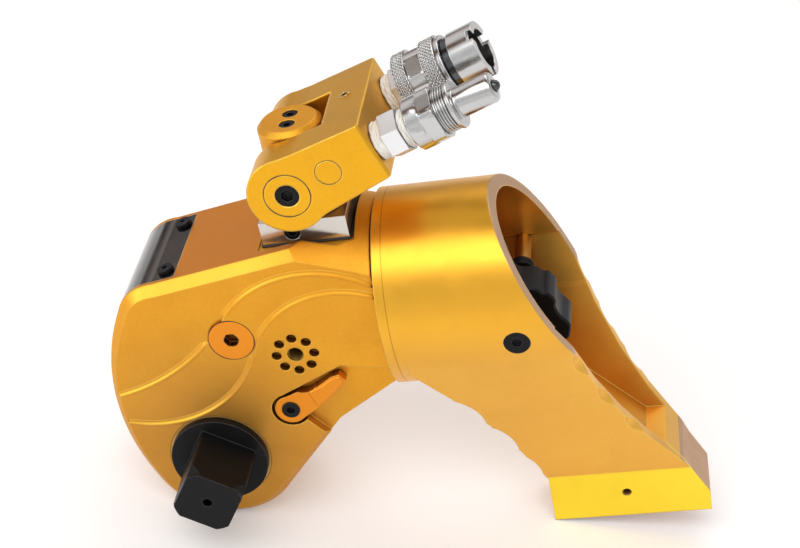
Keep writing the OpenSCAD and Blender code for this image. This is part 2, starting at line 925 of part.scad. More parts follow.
// spring latch that hooks the cylinder's stud
module arm_latch() {
  color([0.1, 0.1, 0.12])
    place()
      difference() {
        slab(-latch_w / 2, latch_w / 2)
          union() {
            translate([latch_x, latch_z])
              circle(r = 6.5);
            translate([latch_x, axis_h])
              polygon([[-19, 5.1], [-15.4, 5.1], [-15.4, 8.1], [-9.1, 8.1], [-6.2, -4.5], [0.4, -15.5], [12.4, -32.7],
                [18, -31], [19.8, -23.5], [15.6, -18.5], [14, -14], [15, -10.5], [11.8, -5.9], [9.6, -6.1], [5.9, 2],
                [1.4, 3], [-3.4, 11.6], [-17.6, 11.6]]);
          }
        ypin(3.5 + fit, -20, 20, latch_x, latch_z);
      }
}

// cross pin of the latch
module latch_pin() {
  color([0.6, 0.6, 0.62])
    place()
      ypin(3.5, -39, 39, latch_x, latch_z);
}

// socket screws at both ends of the latch pin
module latch_screws() {
  color([0.11, 0.11, 0.12])
    place()
      for (side = [0, 1])
        mirror([0, side, 0])
          difference() {
            ypin(5.6, -41.4, -39, latch_x, latch_z);
            key_socket(4, -41.4, 1.6, latch_x, latch_z);
          }
}

// wound return spring on the pin beside the latch
module latch_spring() {
  color([0.6, 0.6, 0.62])
    place()
      difference() {
        ypin(5.5, latch_w / 2 + gap, latch_w / 2 + gap + 6, latch_x, latch_z);
        ypin(3.5, latch_w / 2, latch_w / 2 + gap + 7, latch_x, latch_z);
      }
}

// square seat of the swivel in the body's pocket
module swivel_base() {
  color([0.85, 0.85, 0.86])
    place()
      difference() {
        translate([swivel_x - base_sq / 2, -base_sq / 2, pocket_z])
          cube([base_sq, base_sq, base_top - pocket_z]);
        translate([swivel_x, 0, pocket_z - eps])
          cylinder(r = spindle_r + fit, h = 40);
        translate([swivel_x, 0, pocket_z - eps])
          cylinder(r = spindle_r + 2.4, h = 4.1);
        for (side = [-1, 1])
          ypin(3.4, side * (base_sq / 2 - 2) - 2 - eps, side * (base_sq / 2 - 2) + 2 + eps, swivel_x - 5, pocket_z + 5.5);
      }
}

// clamping screws in the swivel base
module base_screws() {
  color([0.11, 0.11, 0.12])
    place()
      for (side = [0, 1])
        mirror([0, side, 0])
          difference() {
            ypin(3.4, -base_sq / 2 + 0.2, -base_sq / 2 + 4, swivel_x - 5, pocket_z + 5.5);
            key_socket(3.4, -base_sq / 2 + 0.2, 2, swivel_x - 5, pocket_z + 5.5);
          }
}

// dark collar at the foot of the post
module post_ring() {
  color([0.09, 0.09, 0.1])
    place()
      translate([swivel_x, 0, base_top + 0.3])
        difference() {
          union() {
            cylinder(r = post_r + 0.3, h = 3.4);
            cylinder(r = base_sq / 2 - 1.3, h = 1.2);
          }
          translate([0, 0, -eps])
            cylinder(r = spindle_r, h = 5);
        }
}

// turning post that carries the manifold
module swivel_post() {
  color([0.87, 0.6, 0.2])
    place()
      difference() {
        translate([swivel_x, 0, 0])
          union() {
            translate([0, 0, pocket_z + 0.3])
              cylinder(r = spindle_r + 2, h = 3);
            translate([0, 0, pocket_z + 0.3])
              cylinder(r = spindle_r, h = 20);
            translate([0, 0, base_top + 3.7])
              cylinder(r = post_r, h = pin_h + post_h - 2 - base_top - 3.7);
            translate([0, 0, pin_h + post_h - 2])
              cylinder(r1 = post_r, r2 = post_r - 2, h = 2);
          }
        ypin(6 + fit, -20, 20, swivel_x, pin_h);
        for (y = [-4.4, 4.4])
          translate([swivel_x, y, pin_h + post_h - 6])
            cylinder(r = 3.4, h = 8);
      }
}

// two socket plugs in the top of the post
module post_plugs() {
  color([0.11, 0.11, 0.12])
    place()
      for (y = [-4.4, 4.4])
        translate([swivel_x, y, pin_h + post_h - 6])
          difference() {
            cylinder(r = 3.4, h = 5.6);
            translate([0, 0, 3.4])
              cylinder(r = 1.75, h = 4, $fn = 6);
          }
}

// forked manifold that carries both couplers
module swivel_manifold() {
  my = manifold_w / 2;
  color([0.87, 0.63, 0.18])
    place()
      tilted()
        difference() {
          slab(-my, my)
            union() {
              circle(r = ear_r);
              polygon([[0, -ear_r + 0.2], [10, -14.2], [manifold_l, -11.5], [manifold_l, 14.1], [11, 15.3],
                [0, ear_r - 0.2]]);
            }
          translate([-40, -slot_w / 2, -40])
            cube([40 + root_u, slot_w, 80]);
          ypin(6, -my - eps, my + eps);
          for (side = [-1, 1])
            ypin(9.6, side * (my - 2) - 2 - eps, side * (my - 2) + 2 + eps);
          ypin(5.4, -my - eps, -my + 4, 20.5, 1.5);
          for (y = [-port_gap / 2, port_gap / 2])
            urod(6.8, manifold_l - 8, manifold_l + eps, y, 0);
          translate([31, 5, 8])
            cylinder(r = 1.9, h = 10);
          // milled rear corners of the end face
          for (side = [0, 1])
            mirror([0, side, 0])
              translate([manifold_l, my, 0])
                rotate([0, 0, 45])
                  cube([1.6, 1.6, 60], center = true);
        }
}

// tilt pin with a round head at each ear
module swivel_pin() {
  my = manifold_w / 2;
  color([0.87, 0.6, 0.2])
    place()
      tilted()
        difference() {
          union() {
            ypin(6, -my + 4, my - 4);
            for (side = [-1, 1])
              ypin(9.6, side * (my - 2) - 2, side * (my - 2) + 2);
          }
          for (side = [-1, 1])
            ypin(5, side * (my - 1.5) - 1.5 - eps, side * (my - 1.5) + 1.5 + eps);
        }
}

// socket screws in the tilt pin's heads
module pin_screws() {
  my = manifold_w / 2;
  color([0.08, 0.08, 0.09])
    place()
      tilted()
        for (side = [0, 1])
          mirror([0, side, 0])
            difference() {
              ypin(5, -my + 0.3, -my + 3);
              key_socket(5, -my + 0.3, 2, 0, 0);
            }
}

// flush plug of the oil gallery
module gallery_plug() {
  color([0.87, 0.63, 0.18])
    place()
      tilted()
        ypin(5.4, -manifold_w / 2, -manifold_w / 2 + 4, 20.5, 1.5);
}

// hexagonal nipple between the manifold and one coupler
module nipple(y, u1) {
  difference() {
    union() {
      urod(6.8, manifold_l - 8, u1, y, 0);
      uhex(17, manifold_l + 4.8, manifold_l + 12.3, y, 0);
    }
    urod(2.6, manifold_l - 9, u1 + 1, y, 0);
  }
}

// nipple of the male coupler
module male_nipple() {
  color([0.86, 0.86, 0.87])
    place()
      tilted()
        nipple(-port_gap / 2, manifold_l + 16.3);
}

// male coupler half: body, hexagon, threaded collar and probe
module male_body() {
  u = manifold_l + 16.3;
  y = -port_gap / 2;
  color([0.75, 0.75, 0.77])
    place()
      tilted()
        difference() {
          union() {
            urod(11.6, u, u + 6, y, 0);
            uhex(22, u + 6, u + 11, y, 0);
            urod(10.4, u + 11, u + 19, y, 0);
            urod(11, u + 18, u + 20, y, 0);
            urod(probe_r, u + 19, u + 36, y, 0);
          }
          urod(2.4, u - 1, u + 37, y, 0);
          urod(4.2, u - 1, u + 31, y, 0);
        }
}

// sprung ball poppet of the male coupler
module male_poppet() {
  u = manifold_l + 52.3;
  color([0.6, 0.6, 0.62])
    place()
      tilted()
        translate([u, -port_gap / 2, 0])
          union() {
            rotate([0, -90, 0])
              cylinder(r = 2.4 - fit, h = 10);
            sphere(r = 2.4 - fit, $fn = 48);
          }
}

// nipple of the female coupler
module female_nipple() {
  color([0.86, 0.86, 0.87])
    place()
      tilted()
        nipple(port_gap / 2, manifold_l + 12.3);
}

// female coupler half: inner body and open nose with bayonet notches
module female_body() {
  u = manifold_l + 12.3;
  y = port_gap / 2;
  color([0.78, 0.78, 0.8])
    place()
      tilted()
        difference() {
          union() {
            urod(9.8, u, u + 23, y, 0);
            urod(11.9, u + 21.5, u + 33, y, 0);
          }
          urod(3, u - 1, u + 40, y, 0);
          urod(7.4, u + 12, u + 40, y, 0);
          urod(8.6, u + 20, u + 40, y, 0);
          for (a = [30, 150, 270])
            translate([u + 33, y, 0])
              rotate([a, 0, 0])
                translate([0, 0, 10])
                  cube([5, 4.4, 6], center = true);
        }
}

// knurled sleeve that turns on the female coupler
module female_sleeve() {
  u = manifold_l + 12.3;
  y = port_gap / 2;
  color([0.72, 0.72, 0.74])
    place()
      tilted()
        difference() {
          union() {
            urod(sleeve_r, u - 3.8, u + 2.2, y, 0);
            urod(sleeve_r - 0.7, u + 2, u + 9.5, y, 0);
            urod(sleeve_r, u + 9.2, u + 16, y, 0);
            urod(sleeve_r - 0.9, u + 15.5, u + 18.2, y, 0);
          }
          urod(9.8 + fit, u + 0.3, u + 30, y, 0);
          urod(10.4, u - 5, u + 0.5, y, 0);
          for (a = [0:60:300])
            translate([u + 5.7, y, 0])
              rotate([a + 20, 0, 0])
                translate([0, 0, sleeve_r + 0.1])
                  cube([6.4, 9, 3], center = true);
        }
}

// dark ring in the groove behind the nose
module sleeve_ring() {
  u = manifold_l + 30.8;
  y = port_gap / 2;
  color([0.1, 0.1, 0.11])
    place()
      tilted()
        difference() {
          urod(11, u, u + 2.8, y, 0);
          urod(9.8, u - 1, u + 4, y, 0);
        }
}

// sprung poppet in the female coupler
module female_poppet() {
  u = manifold_l + 12.3;
  y = port_gap / 2;
  color([0.6, 0.6, 0.62])
    place()
      tilted()
        union() {
          urod(3 - fit, u + 4, u + 17, y, 0);
          urod(4.6, u + 16, u + 19, y, 0);
        }
}

housing();
rear_guard();
guard_screws();
side_plug();
front_bush();
rear_bush();
square_drive();
ratchet_wheel();
drive_retainer();
release_button();
button_spring();
drive_plates();
drive_pawl();
drive_pawl_pin();
rod_pin();
piston_rod();
piston();
piston_seal();
cylinder_barrel();
rod_gland();
rod_seal();
cylinder_cap();
cap_seal();
reaction_pawl();
release_lever();
lever_screw();
reaction_arm();
arm_latch();
latch_pin();
latch_screws();
latch_spring();
swivel_base();
base_screws();
post_ring();
swivel_post();
post_plugs();
swivel_manifold();
swivel_pin();
pin_screws();
gallery_plug();
male_nipple();
male_body();
male_poppet();
female_nipple();
female_body();
female_sleeve();
sleeve_ring();
female_poppet();
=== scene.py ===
import math

import bmesh
import bpy
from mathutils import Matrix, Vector


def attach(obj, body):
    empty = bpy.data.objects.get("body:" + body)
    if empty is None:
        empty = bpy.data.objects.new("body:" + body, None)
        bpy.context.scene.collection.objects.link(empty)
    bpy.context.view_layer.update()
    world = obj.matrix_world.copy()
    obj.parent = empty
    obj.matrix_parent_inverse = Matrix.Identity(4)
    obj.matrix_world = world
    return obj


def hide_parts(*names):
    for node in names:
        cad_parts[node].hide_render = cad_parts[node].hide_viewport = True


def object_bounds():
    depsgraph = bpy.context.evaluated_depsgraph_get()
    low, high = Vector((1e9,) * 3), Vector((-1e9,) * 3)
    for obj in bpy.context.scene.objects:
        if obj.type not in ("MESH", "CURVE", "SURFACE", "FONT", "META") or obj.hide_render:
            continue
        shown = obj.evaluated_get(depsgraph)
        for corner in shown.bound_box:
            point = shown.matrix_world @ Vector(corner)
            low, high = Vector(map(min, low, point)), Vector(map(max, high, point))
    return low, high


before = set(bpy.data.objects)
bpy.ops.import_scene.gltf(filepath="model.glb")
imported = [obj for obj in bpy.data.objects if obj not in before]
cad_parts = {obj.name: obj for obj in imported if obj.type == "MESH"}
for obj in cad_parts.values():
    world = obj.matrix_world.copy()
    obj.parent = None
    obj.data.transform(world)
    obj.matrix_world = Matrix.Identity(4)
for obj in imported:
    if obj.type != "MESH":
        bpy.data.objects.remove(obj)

cad_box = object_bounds()

# Body: machined aluminium billet, bead blasted and anodised gold.
# It holds the drive and the cylinder, and its sharp edges are broken by hand,
# so they catch the light and wear paler than the faces.
BODY_GOLD = (0.76, 0.365, 0.028, 1)
BODY_DEEP = (0.60, 0.245, 0.018, 1)
BODY_EDGE = (0.95, 0.64, 0.14, 1)
# The next four colours are painted light: shade round the drive, a reflection on the deck, a highlight on the
# chamfers and shade in the handle's hole.
DRIVE_SHADE_BROWN = (0.50, 0.24, 0.045, 1)
DECK_REFLECTION_RED = (0.66, 0.252, 0.035, 1)
CHAMFER_HIGHLIGHT = (0.86, 0.56, 0.06, 1)
BORE_SHADE = (0.09, 0.035, 0.006, 1)
CAVITY_SHADE_DEPTH = 0.8
SMUDGE_DULL = 0.2
TILT = math.radians(13.564735567978)
SHOULDER = 36.0
DECK_SLOPE = math.radians(9.65)
HANDLE_X, HANDLE_Z = 45.5, 51.4
BORE_R = 0.0036
CHAMFER_FADE = (0.036, 0.062)
DRIVE_SHADE_REACH = (0.028, 0.078)


def new_group(name, inputs, outputs):
    tree = bpy.data.node_groups.new(name, "ShaderNodeTree")
    for label, kind, value in inputs:
        socket = tree.interface.new_socket(label, in_out="INPUT", socket_type="NodeSocket" + kind)
        socket.default_value = value
    for label, kind in outputs:
        tree.interface.new_socket(label, in_out="OUTPUT", socket_type="NodeSocket" + kind)
    return tree, tree.nodes.new("NodeGroupInput").outputs, tree.nodes.new("NodeGroupOutput").inputs


def feed(tree, socket, value):
    if isinstance(value, bpy.types.NodeSocket):
        tree.links.new(value, socket)
    else:
        socket.default_value = value


def calc(tree, operation, a, b=0.0, clamp=False):
    node = tree.nodes.new("ShaderNodeMath")
    node.operation = operation
    node.use_clamp = clamp
    feed(tree, node.inputs[0], a)
    feed(tree, node.inputs[1], b)
    return node.outputs[0]


def vector_calc(tree, operation, a, b=(0, 0, 0)):
    node = tree.nodes.new("ShaderNodeVectorMath")
    node.operation = operation
    feed(tree, node.inputs[0], a)
    feed(tree, node.inputs[1], b)
    return node.outputs["Value" if operation in ("DOT_PRODUCT", "DISTANCE", "LENGTH") else "Vector"]


def spread(tree, value, low, high, to_low, to_high):
    node = tree.nodes.new("ShaderNodeMapRange")
    feed(tree, node.inputs["Value"], value)
    for label, number in (("From Min", low), ("From Max", high), ("To Min", to_low), ("To Max", to_high)):
        feed(tree, node.inputs[label], number)
    return node.outputs["Result"]


def mixed(tree, factor, a, b):
    node = tree.nodes.new("ShaderNodeMix")
    node.data_type = "RGBA"
    feed(tree, node.inputs["Factor"], factor)
    feed(tree, node.inputs[6], a)
    feed(tree, node.inputs[7], b)
    return node.outputs[2]


def spot(tree, label="Object"):
    return tree.nodes.new("ShaderNodeTexCoord").outputs[label]


def clouds(tree, scale, detail, rough=0.55):
    node = tree.nodes.new("ShaderNodeTexNoise")
    feed(tree, node.inputs["Vector"], spot(tree))
    feed(tree, node.inputs["Scale"], scale)
    node.inputs["Detail"].default_value = detail
    node.inputs["Roughness"].default_value = rough
    return node.outputs["Fac"]


# blasted and anodised skin: slow change of tone, fine pits, uneven gloss
satin_skin, skin_in, skin_out = new_group(
    "satin skin",
    [("Colour", "Color", (1, 1, 1, 1)), ("Deep Colour", "Color", (0.5, 0.5, 0.5, 1)),
     ("Gloss Base", "Float", 0.35), ("Pits per Metre", "Float", 2400.0)],
    [("Colour", "Color"), ("Roughness", "Float"), ("Height", "Float")])
tone = spread(satin_skin, clouds(satin_skin, 26.0, 3.0), 0.36, 0.66, 0.0, 0.26)
fleck = spread(satin_skin, clouds(satin_skin, 900.0, 2.0), 0.35, 0.65, 0.0, 0.16)
gloss_drift = spread(satin_skin, clouds(satin_skin, 70.0, 4.0), 0.3, 0.7, -0.05, 0.06)
feed(satin_skin, skin_out["Colour"],
     mixed(satin_skin, calc(satin_skin, "ADD", tone, fleck), skin_in["Colour"], skin_in["Deep Colour"]))
feed(satin_skin, skin_out["Roughness"], calc(satin_skin, "ADD", skin_in["Gloss Base"], gloss_drift))
feed(satin_skin, skin_out["Height"], clouds(satin_skin, skin_in["Pits per Metre"], 2.0))

# broken edges: a rounded normal along each edge, and a mask of where it is
broken_edge, edge_in, edge_out = new_group(
    "broken edge", [("Round Radius", "Float", 0.0006), ("Spread", "Float", 5.0)],
    [("Mask", "Float"), ("Normal", "Vector")])
rounding = broken_edge.nodes.new("ShaderNodeBevel")
rounding.samples = 8
feed(broken_edge, rounding.inputs["Radius"], edge_in["Round Radius"])
face_normal = broken_edge.nodes.new("ShaderNodeNewGeometry").outputs["Normal"]
facing = vector_calc(broken_edge, "DOT_PRODUCT", rounding.outputs["Normal"], face_normal)
patchy = spread(broken_edge, clouds(broken_edge, 240.0, 3.0), 0.3, 0.7, 0.45, 1.0)
turned_off = calc(broken_edge, "SUBTRACT", 0.995, facing)
on_edge = calc(broken_edge, "MULTIPLY", turned_off, edge_in["Spread"], True)
feed(broken_edge, edge_out["Mask"], calc(broken_edge, "MULTIPLY", on_edge, patchy, True))
settle = broken_edge.nodes.new("ShaderNodeMix")
settle.data_type = "VECTOR"
feed(broken_edge, settle.inputs[0], calc(broken_edge, "MULTIPLY", on_edge, 12.0, True))
feed(broken_edge, settle.inputs[4], face_normal)
feed(broken_edge, settle.inputs[5], rounding.outputs["Normal"])
feed(broken_edge, edge_out["Normal"], settle.outputs[1])

# marks of use: grey smudges from gloves
handled, hand_in, hand_out = new_group("handled", [("Amount", "Float", 0.3)], [("Smudge", "Float")])
blot = spread(handled, clouds(handled, 38.0, 5.0, 0.62), 0.54, 0.80, 0.0, 1.0)
feed(handled, hand_out["Smudge"], calc(handled, "MULTIPLY", blot, hand_in["Amount"], True))

# painted shade: darker colour in holes, pockets and seams, where little open sky reaches
cavity_shade, cavity_shade_in, cavity_shade_out = new_group(
    "cavity_shade", [("Reach", "Float", 0.006), ("Open", "Float", 0.62)], [("Mask", "Float")])
shade = cavity_shade.nodes.new("ShaderNodeAmbientOcclusion")
shade.samples = 8
feed(cavity_shade, shade.inputs["Distance"], cavity_shade_in["Reach"])
feed(cavity_shade, cavity_shade_out["Mask"], spread(cavity_shade, shade.outputs["AO"], cavity_shade_in["Open"], 0.12, 0.0, 1.0))


def use(tree, group, **values):
    node = tree.nodes.new("ShaderNodeGroup")
    node.node_tree = group
    for label, value in values.items():
        feed(tree, node.inputs[label.replace("_", " ")], value)
    return node.outputs


def metal(name, colour, deep, edge, gloss, pits=1900.0, pit_depth=0.004, edge_radius=0.0006, wear=0.6,
          smudge=0.07, dirt=(0.10, 0.07, 0.04, 1), shine=1.0, zones=(), cavity_shade_colour=(0.05, 0.02, 0.006, 1),
          reach=0.006, open_sky=0.62, glint=0.5, turned=None):
    """Finish from the shared groups. Zones are (mask, colour) pairs, turned is a (mask, finer gloss) pair."""
    made = bpy.data.materials.new(name)
    made.use_nodes = True
    tree = made.node_tree
    shader = tree.nodes["Principled BSDF"]
    shader.inputs["Metallic"].default_value = shine
    shader.inputs["Specular IOR Level"].default_value = glint
    skin = use(tree, satin_skin, Colour=colour, Deep_Colour=deep, Gloss_Base=gloss, Pits_per_Metre=pits)
    rim = use(tree, broken_edge, Round_Radius=edge_radius)
    marks = use(tree, handled, Amount=smudge)
    cavity_shading = use(tree, cavity_shade, Reach=reach, Open=open_sky)
    hue = skin["Colour"]
    for mask, zone_colour in zones:
        hue = mixed(tree, mask(tree), hue, zone_colour)
    hue = mixed(tree, calc(tree, "MULTIPLY", rim["Mask"], wear, True), hue, edge)
    hue = mixed(tree, marks["Smudge"], hue, dirt)
    # painted shade in holes, pockets and seams, from the ambient occlusion group
    hue = mixed(tree, calc(tree, "MULTIPLY", cavity_shading["Mask"], CAVITY_SHADE_DEPTH), hue, cavity_shade_colour)
    feed(tree, shader.inputs["Base Color"], hue)
    rough = calc(tree, "ADD", skin["Roughness"], calc(tree, "MULTIPLY", marks["Smudge"], SMUDGE_DULL))
    if turned:
        mask, finer = turned
        rough = calc(tree, "SUBTRACT", rough, calc(tree, "MULTIPLY", mask(tree), finer))
    feed(tree, shader.inputs["Roughness"], rough)
    bump = tree.nodes.new("ShaderNodeBump")
    bump.inputs["Strength"].default_value = 1.0
    bump.inputs["Distance"].default_value = pit_depth / 1000
    feed(tree, bump.inputs["Height"], skin["Height"])
    feed(tree, bump.inputs["Normal"], rim["Normal"])
    feed(tree, shader.inputs["Normal"], bump.outputs["Normal"])
    return made


def finish_as(material, *names):
    for name in names:
        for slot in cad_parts[name].material_slots:
            slot.material = material


def at(x, y, z):
    """Row place, in metres, of a point drawn in millimetres along the cylinder."""
    c, s = math.cos(TILT), math.sin(TILT)
    return Vector((x * c - z * s, y + SHOULDER, x * s + z * c)) / 1000


def heading_of(x, y, z):
    """Row direction of a direction drawn along the cylinder."""
    return (at(x, y, z) - at(0, 0, 0)).normalized()


INTO = Vector((0, 1, 0))
ACROSS = heading_of(1, 0, 0)


def flat_spot(tree):
    """Place of a point with its depth across the tool left out."""
    return vector_calc(tree, "MULTIPLY", spot(tree), (1, 0, 1))


def bored(tree, axis_point, radius):
    """Mask of the points inside a hole bored across the tool."""
    reach = vector_calc(tree, "DISTANCE", flat_spot(tree), (axis_point.x, 0, axis_point.z))
    return calc(tree, "LESS_THAN", reach, radius)


def chamfer_highlight(tree):
    """Chamfers along the top edges, painted paler than the faces as a painted highlight."""
    near, far = [heading_of(-math.sin(DECK_SLOPE), side, math.cos(DECK_SLOPE)) for side in (-1, 1)]
    normal = spot(tree, "Normal")
    turned_up = calc(tree, "MAXIMUM", vector_calc(tree, "DOT_PRODUCT", normal, near),
                     vector_calc(tree, "DOT_PRODUCT", normal, far))
    run = vector_calc(tree, "DOT_PRODUCT", spot(tree), ACROSS)
    before_cone = spread(tree, run, *CHAMFER_FADE, 1.0, 0.12)
    return calc(tree, "MULTIPLY", spread(tree, turned_up, 0.93, 0.985, 0.0, 0.9), before_cone)


def deck_reflection_tint(tree):
    """The sloping deck, painted redder than the sides as a painted reflection of the dark room behind."""
    square = heading_of(-math.sin(DECK_SLOPE), 0, math.cos(DECK_SLOPE))
    level = vector_calc(tree, "DOT_PRODUCT", spot(tree, "Normal"), square)
    return spread(tree, level, 0.988, 0.998, 0.0, 1.0)


def drive_shade(tree):
    """Painted shade that darkens the faces round the drive, fading out away from its axis."""
    return spread(tree, vector_calc(tree, "LENGTH", flat_spot(tree)), *DRIVE_SHADE_REACH, 0.75, 0.0)


def handle_bore_shade(tree):
    """Painted shade in the handle's hole."""
    return calc(tree, "MULTIPLY", bored(tree, at(HANDLE_X, 0, HANDLE_Z), BORE_R), 0.9)


body_gold = metal("body gold", BODY_GOLD, BODY_DEEP, BODY_EDGE, gloss=0.50, shine=0.90, edge_radius=0.0010,
                  wear=0.7, zones=((drive_shade, DRIVE_SHADE_BROWN), (deck_reflection_tint, DECK_REFLECTION_RED), (chamfer_highlight, CHAMFER_HIGHLIGHT),
                                   (handle_bore_shade, BORE_SHADE)))
finish_as(body_gold, "housing")

# Handle seat on the near side: a threaded hole in the middle of the index ring.
# The thread is cut in the aluminium and anodised with the body.
SIDE_FACE = -32.0


def add_piece(name, mesh, material, body, stands_for=()):
    piece = bpy.data.objects.new(name, mesh)
    bpy.context.scene.collection.objects.link(piece)
    mesh.materials.append(material)
    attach(piece, body)
    if stands_for:
        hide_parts(*stands_for)


def skin_over(form, rows, endless=False):
    """Faces between closed rows of points, in an endless run or with a face at each end."""
    pairs = list(zip(rows, rows[1:]))
    if endless:
        pairs.append((rows[-1], rows[0]))
    count = len(rows[0])
    for a, b in pairs:
        for i in range(count):
            j = (i + 1) % count
            form.faces.new((a[i], a[j], b[j], b[i]))
    if not endless:
        form.faces.new(rows[0])
        form.faces.new(rows[-1])


def mesh_of(name, form, smooth_angle=35):
    bmesh.ops.recalc_face_normals(form, faces=form.faces)
    mesh = bpy.data.meshes.new(name)
    form.to_mesh(mesh)
    form.free()
    for face in mesh.polygons:
        face.use_smooth = True
    mesh.set_sharp_from_angle(angle=math.radians(smooth_angle))
    return mesh


def thread_ridge(name, centre, axis, side, radius, depth, pitch, turns):
    """Helical ridge that stands inwards from the wall of a hole."""
    form = bmesh.new()
    up = axis.cross(side)
    rows = []
    steps = 40
    fade_steps = 12
    section = ((-0.1, -0.42), (1.0, -0.06), (1.0, 0.06), (-0.1, 0.42))
    for i in range(int(turns * steps) + 1):
        a = 2 * math.pi * i / steps
        out = side * math.cos(a) + up * math.sin(a)
        run = axis * (pitch * i / steps)
        fade = min(1.0, i / fade_steps, (turns * steps - i) / fade_steps)
        rows.append([form.verts.new(centre + run + out * (radius - depth * fade * d) + axis * (w * pitch))
                     for d, w in section])
    skin_over(form, rows)
    return mesh_of(name, form)


handle_thread = thread_ridge("handle_thread", at(HANDLE_X, SIDE_FACE, HANDLE_Z), INTO, ACROSS,
                             radius=0.0034, depth=0.00045, pitch=0.00125, turns=6)
add_piece("handle_thread", handle_thread, body_gold, "body")

# Flowing lines: the side faces step down twice, along two long curves.
# A fillet is milled along each step with a ball cutter, so the line catches the light.
# It runs out beside the plug.
HALF_BODY = 33.0
BODY_END = 84.5
BACK = Vector((59.1, 28.96))
BACK_R = 99.5
AXIS_UP = 60.5
CONE_START = 26.0
CONE_R = 54.4
CONE_FALL = 14.4
PLUG = Vector((19.4, 60.9))
PLUG_CLEAR = 10.1
RUN_OUT = 2.4
LEAST_WIDTH = 0.04
SINK = 0.08
FLOW_STEPS = 150
FLOW_START = math.radians(42)
FLOW_SWEEP = math.radians(100)
FLAT_NOSE = 30.0
OVER_AXIS = 2.0
LINE_REACH = 1.4
END_GAP = 0.3
SHORT_RUN = 14
FLOW_SECTION = ((-0.9, -0.3), (-0.7, 0.0), (-0.35, 0.05), (0.0, 0.0), (0.3, -0.18), (0.6, -0.42),
                (0.9, -0.65), (1.25, -0.84), (1.7, -0.96), (2.2, -1.02), (2.2, -1.4), (-0.9, -1.4))


def flow_points(round_c, round_r, hollow_c, inset, low_face):
    """Runs of points along one line, each with the direction square to it that leads off the high face."""
    link = hollow_c - round_c
    hollow_r = link.length - round_r
    turn = math.atan2(link.y, link.x)
    points = []
    for i in range(FLOW_STEPS + 1):
        a = FLOW_START + (turn - FLOW_START) * i / FLOW_STEPS
        off = Vector((math.cos(a), math.sin(a)))
        points.append((round_c + off * round_r, off))
    for i in range(1, FLOW_STEPS + 1):
        a = turn - math.pi - FLOW_SWEEP * i / FLOW_STEPS
        off = Vector((math.cos(a), math.sin(a)))
        points.append((hollow_c + off * hollow_r, -off))
    runs = [[]]
    for point, off in points:
        cone = CONE_R - (point.x - CONE_START) * CONE_FALL / (BODY_END - CONE_START)
        outer = math.hypot(low_face, point.y + LINE_REACH * off.y - AXIS_UP)
        on_cone = point.x < FLAT_NOSE or point.y < AXIS_UP + OVER_AXIS or outer < cone
        clear = (point - PLUG).length > PLUG_CLEAR
        on_side = (point - BACK).length < BACK_R - inset and point.x < BODY_END - END_GAP
        if on_cone and clear and on_side:
            runs[-1].append((point, off))
        elif runs[-1]:
            runs.append([])
    return [run for run in runs if len(run) > SHORT_RUN]


def flow_fillet(name, side, level, round_c, round_r, hollow_c, inset):
    form = bmesh.new()
    for run in flow_points(round_c, round_r, hollow_c, inset, HALF_BODY - level - 1):
        rows = []
        for point, off in run:
            ease = min(1.0, max(LEAST_WIDTH, ((point - PLUG).length - PLUG_CLEAR) / RUN_OUT))
            row = []
            for w, h in FLOW_SECTION:
                place = point + off * (w * ease if w > 0 else w)
                depth = HALF_BODY - level + h - SINK * (1 - ease)
                row.append(form.verts.new(at(place.x, side * depth, place.y)))
            rows.append(row)
        skin_over(form, rows)
    add_piece(name, mesh_of(name, form, 50), body_gold, "body")


for side, label in ((-1, "near"), (1, "far")):
    flow_fillet("flow_fillet_outer_" + label, side, level=1.0, round_c=Vector((55.8, 41)), round_r=48.6,
                hollow_c=Vector((-54, 124)), inset=2.0)
    flow_fillet("flow_fillet_inner_" + label, side, level=0.0, round_c=Vector((66.2, 38.5)), round_r=41.2,
                hollow_c=Vector((-21.3, 73)), inset=3.0)

# Drive works inside the body: bronze bushes, a hardened ratchet wheel and plates,
# ground pawls and pins. They are bare steel with a film of grease.
ground_steel = metal("ground steel", (0.50, 0.50, 0.52, 1), (0.36, 0.36, 0.38, 1), (0.72, 0.72, 0.74, 1),
                     gloss=0.35, pits=3200.0, pit_depth=0.01, edge_radius=0.0004, wear=0.5, smudge=0.3,
                     dirt=(0.06, 0.05, 0.04, 1))
bush_bronze = metal("bush bronze", (0.55, 0.33, 0.11, 1), (0.42, 0.23, 0.07, 1), (0.75, 0.55, 0.25, 1),
                    gloss=0.34, pits=2600.0, pit_depth=0.012, edge_radius=0.0004, wear=0.5, smudge=0.2)
finish_as(bush_bronze, "front_bush", "rear_bush", "rod_gland")
finish_as(ground_steel, "ratchet_wheel", "drive_plates", "drive_pawl", "drive_pawl_pin", "rod_pin",
          "reaction_pawl")

# Drive shaft: forged steel with a turned flange and a milled square, black oxided.
# The square's edges rub bright in the sockets.


def black_oxide(name, gloss, wear):
    return metal(name, (0.0075, 0.008, 0.0095, 1), (0.014, 0.013, 0.012, 1), (0.10, 0.10, 0.11, 1), gloss,
                 pits=2000.0, pit_depth=0.016, edge_radius=0.0007, wear=wear, smudge=0.2,
                 dirt=(0.022, 0.020, 0.018, 1), shine=0.3, cavity_shade_colour=(0.003, 0.003, 0.003, 1), glint=0.16)


finish_as(black_oxide("drive black", gloss=0.46, wear=0.75), "square_drive", "drive_retainer")

# Push button and its spring, on the far end of the drive shaft.
# The button is ground steel, the spring is wound from round wire.


